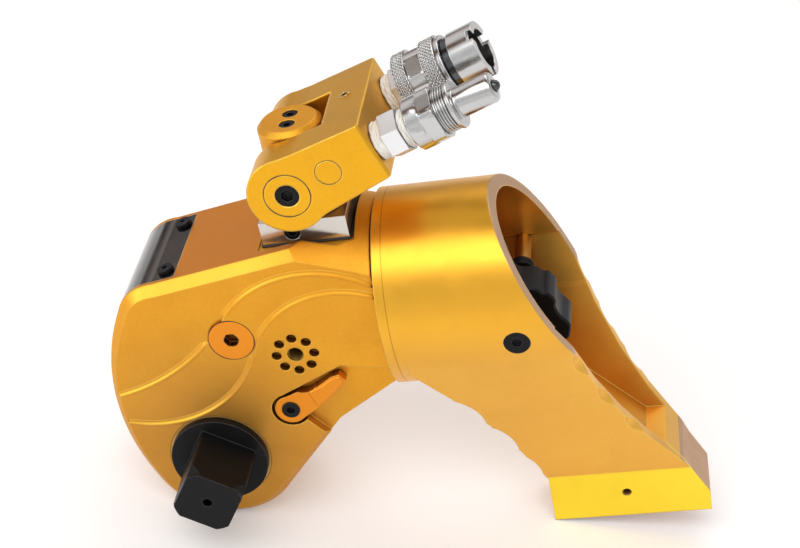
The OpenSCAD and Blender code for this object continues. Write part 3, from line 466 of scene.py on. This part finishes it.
def wound_wire(name, centre, axis, side, radius, wire, length, turns):
    """Compression spring: round wire on a helix, its end turns laid close."""
    form = bmesh.new()
    up = axis.cross(side)
    rings = []
    steps = 28
    sides = 10
    total = turns * steps
    for i in range(total + 1):
        a = 2 * math.pi * i / steps
        t = i / total
        lay = t * t * (3 - 2 * t) * 0.5 + t * 0.5
        out = side * math.cos(a) + up * math.sin(a)
        middle = centre + axis * (wire + lay * (length - 2 * wire)) + out * radius
        rings.append([form.verts.new(middle + (out * math.cos(b) + axis * math.sin(b)) * wire)
                      for b in (2 * math.pi * k / sides for k in range(sides))])
    skin_over(form, rings)
    return mesh_of(name, form, 60)


finish_as(ground_steel, "release_button")
button_coil = wound_wire("button_coil", at(0, 25.0, 0), INTO, ACROSS,
                         radius=0.0046, wire=0.0005, length=0.0028, turns=3)
add_piece("button_coil", button_coil, ground_steel, "drive", ("button_spring",))

# Cylinder: splined barrel and end cap in orange anodised aluminium,
# a chromed rod, a steel piston, and rubber seals in turned grooves.
ORANGE = (0.78, 0.275, 0.022, 1)
KEY_SHADE = (0.16, 0.05, 0.006, 1)
KEY_R = 0.0033


def plug_key_shade(tree):
    """Painted shade in the side plug's key socket."""
    return bored(tree, at(PLUG.x, 0, PLUG.y), KEY_R)


small_gold = metal("small gold", ORANGE, (0.64, 0.20, 0.014, 1), (0.92, 0.52, 0.12, 1), gloss=0.36, shine=0.9,
                   zones=((plug_key_shade, KEY_SHADE),))
finish_as(small_gold, "cylinder_barrel", "cylinder_cap")
finish_as(ground_steel, "piston_rod", "piston")
# This black also stands for painted shade on the swivel seat.
seal_and_shade_black = metal("seal rubber", (0.013, 0.013, 0.014, 1), (0.022, 0.021, 0.02, 1), (0.05, 0.05, 0.05, 1),
                    gloss=0.55, pits=1500.0, pit_depth=0.03, edge_radius=0.0003, wear=0.4, smudge=0.3,
                    dirt=(0.06, 0.055, 0.05, 1), shine=0.0)
finish_as(seal_and_shade_black, "piston_seal", "rod_seal", "cap_seal")

# Guard: polished stainless strip rolled over the curved back.
# Gloves have left faint smudges on it, and four black button screws hold it.
# Its dark grey colour is a painted dark reflection.
polished = metal("polished guard", (0.18, 0.176, 0.17, 1), (0.135, 0.13, 0.128, 1), (0.70, 0.70, 0.70, 1),
                 gloss=0.13, pits=1200.0, edge_radius=0.0004, wear=0.5, smudge=0.18,
                 dirt=(0.12, 0.115, 0.11, 1))
finish_as(polished, "rear_guard")
black_screws = black_oxide("screw black", gloss=0.36, wear=0.55)
finish_as(black_screws, "guard_screws")

# Side plug: turned from bar, orange anodised, screwed in flush.
# A thin dark bead round it is painted shade of the joint.
GAP_SHADE_BROWN = (0.10, 0.045, 0.012, 1)


def seam_ring(name, centre, axis, side, radius, half_width, rise):
    """Thin dark bead round a flush plug: painted shade of the joint."""
    form = bmesh.new()
    up = axis.cross(side)
    rings = []
    steps = 72
    sides = 8
    for i in range(steps):
        a = 2 * math.pi * i / steps
        out = side * math.cos(a) + up * math.sin(a)
        thick = half_width * (1 + 0.25 * math.sin(3 * a + 0.7) + 0.15 * math.sin(7 * a))
        ring = []
        for k in range(sides):
            b = 2 * math.pi * k / sides
            bead = out * (radius + thick * math.cos(b)) - axis * (rise * math.sin(b))
            ring.append(form.verts.new(centre + bead))
        rings.append(ring)
    skin_over(form, rings, endless=True)
    return mesh_of(name, form, 80)


gap_shade = metal("seam lacquer", GAP_SHADE_BROWN, (0.05, 0.02, 0.006, 1), GAP_SHADE_BROWN, gloss=0.4, pits=1500.0,
                pit_depth=0.02, edge_radius=0.0003, wear=0.2, smudge=0.2, dirt=GAP_SHADE_BROWN, shine=0.3)
finish_as(small_gold, "side_plug")
plug_seam = seam_ring("plug_seam", at(PLUG.x, SIDE_FACE, PLUG.y), INTO, ACROSS,
                      radius=0.0099, half_width=0.00022, rise=0.00008)
add_piece("plug_seam", plug_seam, gap_shade, "body")

# Release lever: thumb lever cut from plate, orange anodised, on the pawl's shaft.
# Its end is raised for the thumb, and a black socket screw holds it.
LEVER_X, LEVER_Z = 37.1, 22.4
LEVER_LEAN = math.radians(32.8)
PAD_CORNERS = ((10.4, -6.3), (20, -5.6), (29.3, -3.4), (29.0, 0.1), (25.8, 1.1), (18, 1.0), (12.6, 2.4))
finish_as(small_gold, "release_lever")
finish_as(black_screws, "lever_screw")


def eased(corners, radius):
    """Outline with every corner rounded off by a small arc."""
    path = []
    for before, corner, after in zip(corners[-1:] + corners[:-1], corners, corners[1:] + corners[:1]):
        back, on = before - corner, after - corner
        cut = min(radius, 0.45 * back.length, 0.45 * on.length)
        start, end = corner + back.normalized() * cut, corner + on.normalized() * cut
        for t in (0, 0.25, 0.5, 0.75, 1):
            path.append(start * (1 - t) ** 2 + corner * (2 * t * (1 - t)) + end * t ** 2)
    return path


def cut_plate(name, corners, to_row, radius, near, far, bevel):
    """Plate cut to an outline with eased corners, with both rims bevelled."""
    outline = eased([Vector(corner) for corner in corners], radius)
    form = bmesh.new()
    rings = []
    count = len(outline)
    for depth, inset in ((near, bevel), (near + bevel, 0.0), (far - bevel, 0.0), (far, bevel)):
        ring = []
        for i, point in enumerate(outline):
            run = outline[(i + 1) % count] - outline[i - 1]
            place = point + Vector((-run.y, run.x)).normalized() * inset
            ring.append(form.verts.new(to_row(place.x, depth, place.y)))
        rings.append(ring)
    skin_over(form, rings)
    return mesh_of(name, form, 40)


def on_lever(u, y, v):
    """Row place of a point u along the lever, y across the tool and v over the lever's middle."""
    c, s = math.cos(LEVER_LEAN), math.sin(LEVER_LEAN)
    return at(LEVER_X + u * c - v * s, y, LEVER_Z + u * s + v * c)


thumb_pad = cut_plate("thumb_pad", PAD_CORNERS, on_lever, radius=1.6, near=-HALF_BODY - 0.35,
                      far=-HALF_BODY + 0.9, bevel=0.45)
add_piece("thumb_pad", thumb_pad, small_gold, "lever")

# Reaction arm: forged and machined aluminium, anodised a shade paler than the body.
# The slanted cut through collar and walls was milled last and is duller.
ARM_GOLD = (0.82, 0.455, 0.075, 1)
TURNED_SHADED_GOLD = (0.80, 0.41, 0.036, 1)
HOLLOW_SHADE_BROWN = (0.40, 0.125, 0.014, 1)
CUT_TAN = (0.50, 0.30, 0.16, 1)
FACET_REFLECTION_YELLOW = (0.94, 0.70, 0.045, 1)
LINE_DARK = (0.30, 0.12, 0.012, 1)
COLLAR_R = 42.4
CUT_TOP = Vector((134.0, AXIS_UP + COLLAR_R))
CUT_LOW = Vector((204.0, -44.0))
FOOT_FACE = -13.25
FOOT_TOP = 0.034
FACE_HALF = 0.0004
SKIN_HALF = 0.0006
COLLAR_FADE = (-0.022, 0.004)
LINE_X = 89.6
LINE_HALF = 0.00022


def along(tree, direction, place, half):
    """Mask of the points within half of a plane square to a direction."""
    reach = vector_calc(tree, "DOT_PRODUCT", spot(tree), direction)
    off = calc(tree, "ABSOLUTE", calc(tree, "SUBTRACT", reach, place))
    return calc(tree, "LESS_THAN", off, half)


def milled_cut(tree):
    """The slanted cut, a plane across the collar."""
    run = (CUT_LOW.x - CUT_TOP.x) / (CUT_TOP.y - CUT_LOW.y)
    square = heading_of(1, 0, run)
    return along(tree, square, square.dot(at(CUT_TOP.x, 0, CUT_TOP.y)), FACE_HALF)


def foot_facet_reflection(tree):
    """The near face of the foot, painted a brighter yellow as a painted reflection of the bright front."""
    height = tree.nodes.new("ShaderNodeSeparateXYZ")
    feed(tree, height.inputs[0], spot(tree))
    low = calc(tree, "LESS_THAN", height.outputs["Z"], FOOT_TOP)
    return calc(tree, "MULTIPLY", along(tree, INTO, at(0, FOOT_FACE, 0).y, FACE_HALF), low)


def from_axis(tree):
    """Place of a point as seen from the collar's axis, and its distance from that axis."""
    offset = vector_calc(tree, "SUBTRACT", spot(tree), at(100, 0, AXIS_UP))
    return offset, vector_calc(tree, "LENGTH", vector_calc(tree, "CROSS_PRODUCT", offset, ACROSS))


def collar_skin(tree, reach):
    """Mask of the collar's round outside."""
    off = calc(tree, "ABSOLUTE", calc(tree, "SUBTRACT", reach, COLLAR_R / 1000))
    return calc(tree, "LESS_THAN", off, SKIN_HALF)


def turned_collar_shaded(tree):
    """The collar's outside, turned and glossier than the blasted walls it runs into, of a deeper tone that
    fades out below the axis: over the upper half that tone is painted shade.
    """
    offset, reach = from_axis(tree)
    over_axis = vector_calc(tree, "DOT_PRODUCT", offset, heading_of(0, 0, 1))
    return calc(tree, "MULTIPLY", collar_skin(tree, reach), spread(tree, over_axis, *COLLAR_FADE, 0.0, 1.0))


def hollow_shade(tree):
    """Painted shade on the inside walls, darker where the walls close round, kept off the collar's outside.
    """
    inside = calc(tree, "SUBTRACT", 1.0, collar_skin(tree, from_axis(tree)[1]))
    return calc(tree, "MULTIPLY", use(tree, cavity_shade, Reach=0.035, Open=0.95)["Mask"], inside)


def rim_line(tree):
    """Fine turned line near the collar's inner end."""
    return calc(tree, "MULTIPLY", along(tree, ACROSS, ACROSS.dot(at(LINE_X, 0, 0)), LINE_HALF), 0.55)


arm_gold = metal("arm gold", ARM_GOLD, (0.70, 0.35, 0.048, 1), (0.95, 0.68, 0.20, 1), gloss=0.37, shine=0.9,
                 edge_radius=0.0009, turned=(turned_collar_shaded, 0.04),
                 zones=((turned_collar_shaded, TURNED_SHADED_GOLD), (hollow_shade, HOLLOW_SHADE_BROWN), (milled_cut, CUT_TAN),
                        (foot_facet_reflection, FACET_REFLECTION_YELLOW), (rim_line, LINE_DARK)))
finish_as(arm_gold, "reaction_arm")
foot_thread = thread_ridge("foot_thread", at(174, -12.6, -55), INTO, ACROSS,
                           radius=0.0021, depth=0.0003, pitch=0.0008, turns=9)
add_piece("foot_thread", foot_thread, arm_gold, "body")

# Latch: black oxided steel hook on a bronze cross pin between the arm's walls,
# with a wound return spring on the pin and a socket screw at each end.
LATCH_X = 140.6
PIN_DROP = 7.2
HOOK_HALF = 9.0
HOOK_CORNERS = ((-19, 5.1), (-15.4, 5.1), (-15.4, 8.1), (-9.1, 8.1), (-6.2, -4.5), (0.4, -15.5),
                (12.4, -32.7), (18, -31), (19.8, -23.5), (15.6, -18.5), (14, -14), (15, -10.5), (11.8, -5.9),
                (9.6, -6.1), (7.4, -3.4), (-0.8, -2.6), (-3.4, 2.5), (-4.4, 11.6), (-17.6, 11.6))


def on_latch(x, y, z):
    """Row place of a point drawn from the cylinder's axis at the latch's pin."""
    return at(LATCH_X + x, y, AXIS_UP + z)


latch_black = black_oxide("latch black", gloss=0.38, wear=0.7)
latch_hook = cut_plate("latch_hook", HOOK_CORNERS, on_latch, radius=2.4, near=-HOOK_HALF, far=HOOK_HALF,
                       bevel=0.7)
add_piece("latch_hook", latch_hook, latch_black, "latch", ("arm_latch",))
finish_as(bush_bronze, "latch_pin")
finish_as(black_screws, "latch_screws")
latch_coil = wound_wire("latch_coil", on_latch(0, 9.5, -PIN_DROP), INTO, ACROSS,
                        radius=0.0049, wire=0.0006, length=0.006, turns=4)
add_piece("latch_coil", latch_coil, latch_black, "body", ("latch_spring",))

# Swivel seat: clear anodised aluminium block clamped in the body's pocket, ringed by a black band: painted
# shadow.
# A black collar, which is painted shade, and the turning gold post stand on it.
SWIVEL_X = 58.2
SEAT_SHADE_ROUND = 1.6
SEAT_SHADE_SECTION = ((18.4, 97.03), (19.3, 97.03), (19.3, 97.5), (19.05, 97.75), (18.4, 97.75))
clear_seat = metal("clear anodised", (0.62, 0.60, 0.56, 1), (0.48, 0.46, 0.42, 1), (0.86, 0.85, 0.83, 1),
                   gloss=0.19, shine=0.92, smudge=0.15, cavity_shade_colour=(0.03, 0.028, 0.025, 1))
finish_as(clear_seat, "swivel_base")
finish_as(black_screws, "base_screws", "post_plugs", "pin_screws")
# thin black band in the gap round the seat's foot: a painted shadow line
form = bmesh.new()
loops = []
for half, height in SEAT_SHADE_SECTION:
    corners = [Vector((SWIVEL_X + half * i, half * j)) for i, j in ((-1, -1), (1, -1), (1, 1), (-1, 1))]
    loops.append([form.verts.new(at(point.x, point.y, height)) for point in eased(corners, SEAT_SHADE_ROUND)])
skin_over(form, loops, endless=True)
add_piece("seat_shade_band", mesh_of("seat_shade_band", form), seal_and_shade_black, "body")
# the post ring is finished black as painted shade under the manifold
finish_as(seal_and_shade_black, "post_ring")
finish_as(body_gold, "swivel_post")

# Manifold: forked aluminium block, anodised with the body, on a tilt pin with round heads.
# A flush plug closes its cross gallery, and a brass bleed bush sits in its top.
PIN = at(SWIVEL_X, 0, 126.4)
RISING = TILT + math.radians(20.5)
ALONG = Vector((math.cos(RISING), 0, math.sin(RISING)))
RISE = Vector((-ALONG.z, 0, ALONG.x))
CHEEK = 30.0
BUSH_U, BUSH_Y = 31, 5
BUSH_STEPS = 40
BUSH_SECTION = ((1.35, 13.2), (1.35, 14.7), (1.55, 14.95), (2.4, 14.95), (2.7, 14.7), (2.7, 14.3),
                (1.85, 13.2))


def on_manifold(u, y, h):
    """Row place of a point u along the couplers, y across and h over the tilt pin, in millimetres."""
    return PIN + ALONG * (u / 1000) + INTO * (y / 1000) + RISE * (h / 1000)


# The pale edge colour, mixed in strongly, is edge wear and partly a painted highlight along the rounded
# edges.
manifold_gold = metal("manifold gold", (0.80, 0.41, 0.018, 1), (0.66, 0.30, 0.014, 1), (1.0, 0.72, 0.14, 1),
                      gloss=0.34, shine=0.92, edge_radius=0.0017, wear=0.9)
finish_as(manifold_gold, "swivel_manifold", "gallery_plug", "swivel_pin")
# dark beads round the pin heads and the gallery plug: painted shade of their joints
for side, label in ((-1, "near"), (1, "far")):
    pin_seam = seam_ring("pin_seam_" + label, on_manifold(0, CHEEK * side, 0), INTO, ALONG,
                         radius=0.0096, half_width=0.00020, rise=0.00006)
    add_piece("pin_seam_" + label, pin_seam, gap_shade, "manifold")
gallery_seam = seam_ring("gallery_seam", on_manifold(20.5, -CHEEK, 1.5), INTO, ALONG,
                         radius=0.0054, half_width=0.00009, rise=0.00004)
add_piece("gallery_seam", gallery_seam, gap_shade, "manifold")
brass = metal("bleed brass", (0.62, 0.40, 0.12, 1), (0.48, 0.28, 0.07, 1), (0.85, 0.65, 0.30, 1), gloss=0.25,
              edge_radius=0.0003)
form = bmesh.new()
rings = []
for i in range(BUSH_STEPS):
    a = 2 * math.pi * i / BUSH_STEPS
    rings.append([form.verts.new(on_manifold(BUSH_U + r * math.cos(a), BUSH_Y + r * math.sin(a), h))
                  for r, h in BUSH_SECTION])
skin_over(form, rings, endless=True)
add_piece("bleed_bush", mesh_of("bleed_bush", form), brass, "manifold")

# Nipples: zinc plated hexagons screwed into the manifold's end,
# wrapped with white sealing tape on both threads.
MALE_Y, FEMALE_Y = -20, 20
NIPPLE_R = 7.0
TAPE_R = 7.75
TAPE_LAP = 0.3
SOOT = (0.10, 0.09, 0.08, 1)
# painted shade colour for the zinc parts' holes and seams
SEAM_SHADE_GREY = (0.05, 0.048, 0.045, 1)
bright_zinc = metal("bright zinc", (0.80, 0.81, 0.82, 1), (0.68, 0.69, 0.70, 1), (0.9, 0.9, 0.9, 1),
                    gloss=0.42, pits=2200.0, pit_depth=0.012, edge_radius=0.0005, smudge=0.15, dirt=SOOT,
                    cavity_shade_colour=SEAM_SHADE_GREY)
finish_as(bright_zinc, "male_nipple", "female_nipple")
tape = metal("sealing tape", (0.80, 0.78, 0.72, 1), (0.68, 0.65, 0.58, 1), (0.86, 0.85, 0.81, 1), gloss=0.6,
             pits=900.0, pit_depth=0.06, edge_radius=0.0004, wear=0.3, smudge=0.2, dirt=(0.45, 0.42, 0.38, 1),
             shine=0.0, cavity_shade_colour=(0.40, 0.36, 0.30, 1))


def turned_form(name, y, profile, count, shape, endless=True):
    """Turned piece along the couplers: rings of (u, r) in millimetres, each radius shaped round the turn."""
    form = bmesh.new()
    rings = []
    for u, r in profile:
        ring = []
        for i in range(count):
            a = 2 * math.pi * i / count
            radius = shape(u, a, r)
            ring.append(form.verts.new(on_manifold(u, y + radius * math.cos(a), radius * math.sin(a))))
        rings.append(ring)
    skin_over(form, rings, endless)
    return mesh_of(name, form)


def tape_band(name, y, u0, u1, seed):
    """Few turns of tape with frayed, uneven rims."""
    def loose(u, a, r):
        return r + 0.16 * math.sin(5 * a + 2.1 * u + seed) + 0.10 * math.sin(13 * a - 3 * u + 2 * seed)
    steps = 7
    profile = [(u0, NIPPLE_R)]
    for k in range(steps + 1):
        profile.append((u0 + (u1 - u0) * k / steps, TAPE_R + (TAPE_LAP if k % 2 else 0.0)))
    profile.append((u1, NIPPLE_R))
    add_piece(name, turned_form(name, y, profile, 64, loose), tape, "manifold")


tape_band("male_tape_inner", MALE_Y, 41.9, 46.6, 0.4)
tape_band("male_tape_outer", MALE_Y, 54.1, 57.9, 1.9)
tape_band("female_tape_inner", FEMALE_Y, 41.9, 46.6, 3.1)

# Male coupler: plated steel, turned and threaded, with a hexagon for the spanner
# and a smooth ground probe that ends in a dark ball.
MALE = 58.0
HEX_HALF = 10.55
HEX_FROM, HEX_TO = 6.39, 12.61
plated = metal("zinc plated", (0.56, 0.565, 0.56, 1), (0.42, 0.42, 0.42, 1), (0.84, 0.84, 0.85, 1),
               gloss=0.18, pits=2200.0, pit_depth=0.006, edge_radius=0.0005, smudge=0.15, dirt=SOOT,
               cavity_shade_colour=SEAM_SHADE_GREY, reach=0.0014, open_sky=0.86)
smoked = metal("smoked steel", (0.10, 0.105, 0.115, 1), (0.05, 0.052, 0.056, 1), (0.4, 0.4, 0.42, 1),
               gloss=0.17, pits=2200.0, pit_depth=0.012, edge_radius=0.0004, wear=0.5, smudge=0.2,
               dirt=(0.03, 0.028, 0.025, 1))


def hexed(u, a, r):
    """Radius of the male body, cut to six flats along its second half."""
    if HEX_FROM < u - MALE < HEX_TO:
        flat = (a + math.pi / 6) % (math.pi / 3) - math.pi / 6
        return min(r, HEX_HALF / math.cos(flat))
    return r


male_profile = [(0, 7.2), (0, 10.5), (0.6, 11.1), (5.7, 11.1), (6.4, 11.1), (6.9, 11.7), (12.1, 11.7),
                (12.6, 11.0), (12.62, 9.0), (13.2, 8.8)]
for k in range(4):
    start = 13.3 + 1.15 * k
    male_profile += [(start, 8.9), (start + 0.35, 9.5), (start + 0.7, 9.5), (start + 1.05, 8.9)]
male_profile += [(18.0, 8.9), (18.1, 9.6), (18.5, 10.0), (19.6, 10.0), (20.0, 9.6), (20.02, 6.5), (20.4, 6.2),
                 (34.8, 6.2), (35.7, 5.6), (36.0, 4.6), (36.0, 2.9), (35.5, 2.42), (30.0, 2.42)]
male_profile = [(MALE + v, r) for v, r in male_profile]
male_coupler = turned_form("male_coupler", MALE_Y, male_profile, 144, hexed, endless=False)
add_piece("male_coupler", male_coupler, plated, "manifold", ("male_body",))
finish_as(smoked, "male_poppet")

# Female coupler: plated body with an open notched nose, a dark ring behind it,
# and a turning sleeve with two knurled bands and a band of spanner flats.
FEMALE = 54.0
GRIP_R = 13.8
KNURLS = 46
KNURL_RUN = 1.7
KNURL_DEPTH = 0.75
KNURL_BANDS = ((-3.3, 1.8), (9.7, 15.5))
WAIST_R = 13.1
FLAT_HALF = 12.35
FLATS_FROM, FLATS_TO = 2.45, 8.95
finish_as(plated, "female_body")
finish_as(ground_steel, "female_poppet")
finish_as(smoked, "sleeve_ring")


def gripped(u, a, r):
    """Radius of the sleeve: crossed knurls on two bands, six flats between them."""
    v = u - FEMALE
    if r == GRIP_R and any(low < v < high for low, high in KNURL_BANDS):
        turn = KNURLS * a / (2 * math.pi)
        one = abs((turn + v / KNURL_RUN) % 1 - 0.5) * 2
        two = abs((turn - v / KNURL_RUN) % 1 - 0.5) * 2
        return r - KNURL_DEPTH * max(0.0, 1 - 1.5 * one, 1 - 1.5 * two)
    if r == WAIST_R and FLATS_FROM < v < FLATS_TO:
        flat = (a + math.radians(20)) % (math.pi / 3) - math.pi / 6
        return min(r, FLAT_HALF / math.cos(flat))
    return r


sleeve_profile = [(-3.8, 10.4), (-3.8, 13.3), (-3.4, GRIP_R)]
sleeve_profile += [(-3.4 + 5.3 * k / 26, GRIP_R) for k in range(1, 26)]
sleeve_profile += [(1.9, GRIP_R), (2.2, 13.4), (2.3, 12.9), (2.5, WAIST_R)]
sleeve_profile += [(2.5 + 6.4 * k / 6, WAIST_R) for k in range(1, 7)]
sleeve_profile += [(9.1, 12.9), (9.2, 13.4), (9.6, GRIP_R)]
sleeve_profile += [(9.6 + 6.0 * k / 30, GRIP_R) for k in range(1, 30)]
sleeve_profile += [(15.6, GRIP_R), (16.0, 13.3), (16.02, 12.5), (16.3, 12.5), (16.5, 12.9), (17.9, 12.9),
                   (18.2, 12.6), (18.2, 9.9), (0.5, 9.9), (0.5, 10.4)]
sleeve_profile = [(FEMALE + v, r) for v, r in sleeve_profile]
grip_sleeve = turned_form("grip_sleeve", FEMALE_Y, sleeve_profile, 9 * KNURLS, gripped)
add_piece("grip_sleeve", grip_sleeve, plated, "sleeve", ("female_sleeve",))

# Studio: pale paper floor, a wide softbox over the front, smaller ones at the left and behind,
# and a room that is bright in front of the tool, dark overhead, and bright behind but for one low dark band.
PAPER = (0.92, 0.93, 0.94, 1)
PAPER_GREYER = (0.905, 0.915, 0.925, 1)
FLOOR_LIFT = 0.15
FLOOR_GAP = 0.0002
MIDDLE = Vector((0.09, 0.0, 0.05))
floor_mesh = bpy.data.meshes.new("floor")
form = bmesh.new()
bmesh.ops.create_grid(form, x_segments=8, y_segments=8, size=6.0)
form.to_mesh(floor_mesh)
form.free()
floor = bpy.data.objects.new("floor", floor_mesh)
floor.location = (0.1, 0.0, cad_box[0][2] - FLOOR_GAP)
bpy.context.scene.collection.objects.link(floor)
paper = bpy.data.materials.new("pale paper")
paper.use_nodes = True
tree = paper.node_tree
shader = tree.nodes["Principled BSDF"]
shader.inputs["Roughness"].default_value = 0.85
shader.inputs["Specular IOR Level"].default_value = 0.15
seen = tree.nodes.new("ShaderNodeLightPath").outputs
direct = calc(tree, "ADD", seen["Is Camera Ray"], seen["Is Glossy Ray"])
direct = calc(tree, "ADD", direct, seen["Is Transmission Ray"], True)
shader.inputs["Emission Color"].default_value = (1, 1, 1, 1)
feed(tree, shader.inputs["Emission Strength"], calc(tree, "MULTIPLY", direct, FLOOR_LIFT))
blotch = spread(tree, clouds(tree, 9.0, 3.0), 0.3, 0.7, 0.0, 1.0)
feed(tree, shader.inputs["Base Color"], mixed(tree, blotch, PAPER, PAPER_GREYER))
floor_mesh.materials.append(paper)


def softbox(name, place, width, height, power):
    lamp = bpy.data.lights.new(name, "AREA")
    lamp.shape = "RECTANGLE"
    lamp.size = width
    lamp.size_y = height
    lamp.energy = power
    holder = bpy.data.objects.new(name, lamp)
    holder.location = place
    holder.rotation_euler = (MIDDLE - Vector(place)).to_track_quat("-Z", "Y").to_euler()
    bpy.context.scene.collection.objects.link(holder)


softbox("front_softbox", (-0.15, -0.60, 1.12), 1.3, 0.7, 6.6)
softbox("left_softbox", (-1.05, -0.50, 0.38), 0.5, 0.5, 2.4)
softbox("back_softbox", (0.35, 0.80, 1.30), 1.2, 0.5, 3.2)

room = bpy.data.worlds.new("room")
bpy.context.scene.world = room
room.use_nodes = True
tree = room.node_tree
heading = tree.nodes.new("ShaderNodeSeparateXYZ")
feed(tree, heading.inputs[0], spot(tree, "Generated"))
# angle over the front horizon, 0 in front, a half overhead, 1 behind
rising = calc(tree, "ARCTAN2", heading.outputs["Z"], calc(tree, "MULTIPLY", heading.outputs["Y"], -1.0))
walls = tree.nodes.new("ShaderNodeValToRGB")
feed(tree, walls.inputs["Fac"], calc(tree, "DIVIDE", rising, math.pi, True))
stops = ((0.0, (1.0, 1.0, 1.0)), (0.12, (0.70, 0.70, 0.70)), (0.24, (0.95, 0.95, 0.95)),
         (0.34, (1.0, 1.0, 1.0)), (0.43, (0.18, 0.09, 0.05)), (0.53, (0.15, 0.07, 0.04)),
         (0.61, (0.95, 0.93, 0.92)),
         (0.78, (1.0, 0.94, 0.92)), (0.87, (0.74, 0.62, 0.58)), (0.92, (0.16, 0.15, 0.14)),
         (0.95, (0.16, 0.15, 0.14)), (0.975, (0.9, 0.9, 0.9)), (1.0, (1.0, 1.0, 1.0)))
ramp = walls.color_ramp
while len(ramp.elements) < len(stops):
    ramp.elements.new(0.5)
for element, (place, light) in zip(ramp.elements, stops):
    element.position = place
    element.color = (*light, 1)
backdrop = tree.nodes["Background"]
feed(tree, backdrop.inputs["Color"], walls.outputs["Color"])
backdrop.inputs["Strength"].default_value = 1.0

lens = bpy.data.cameras.new("camera")
lens.sensor_width = 36
lens.lens = 74.6376
lens.clip_start = 0.01
camera = bpy.data.objects.new("camera", lens)
camera.location = (0.109610, -0.553498, 0.483387)
camera.rotation_euler = (0.975918, -0.053735, 0.099865)
bpy.context.scene.collection.objects.link(camera)
bpy.context.scene.camera = camera
bpy.context.scene.view_settings.view_transform = "Standard"
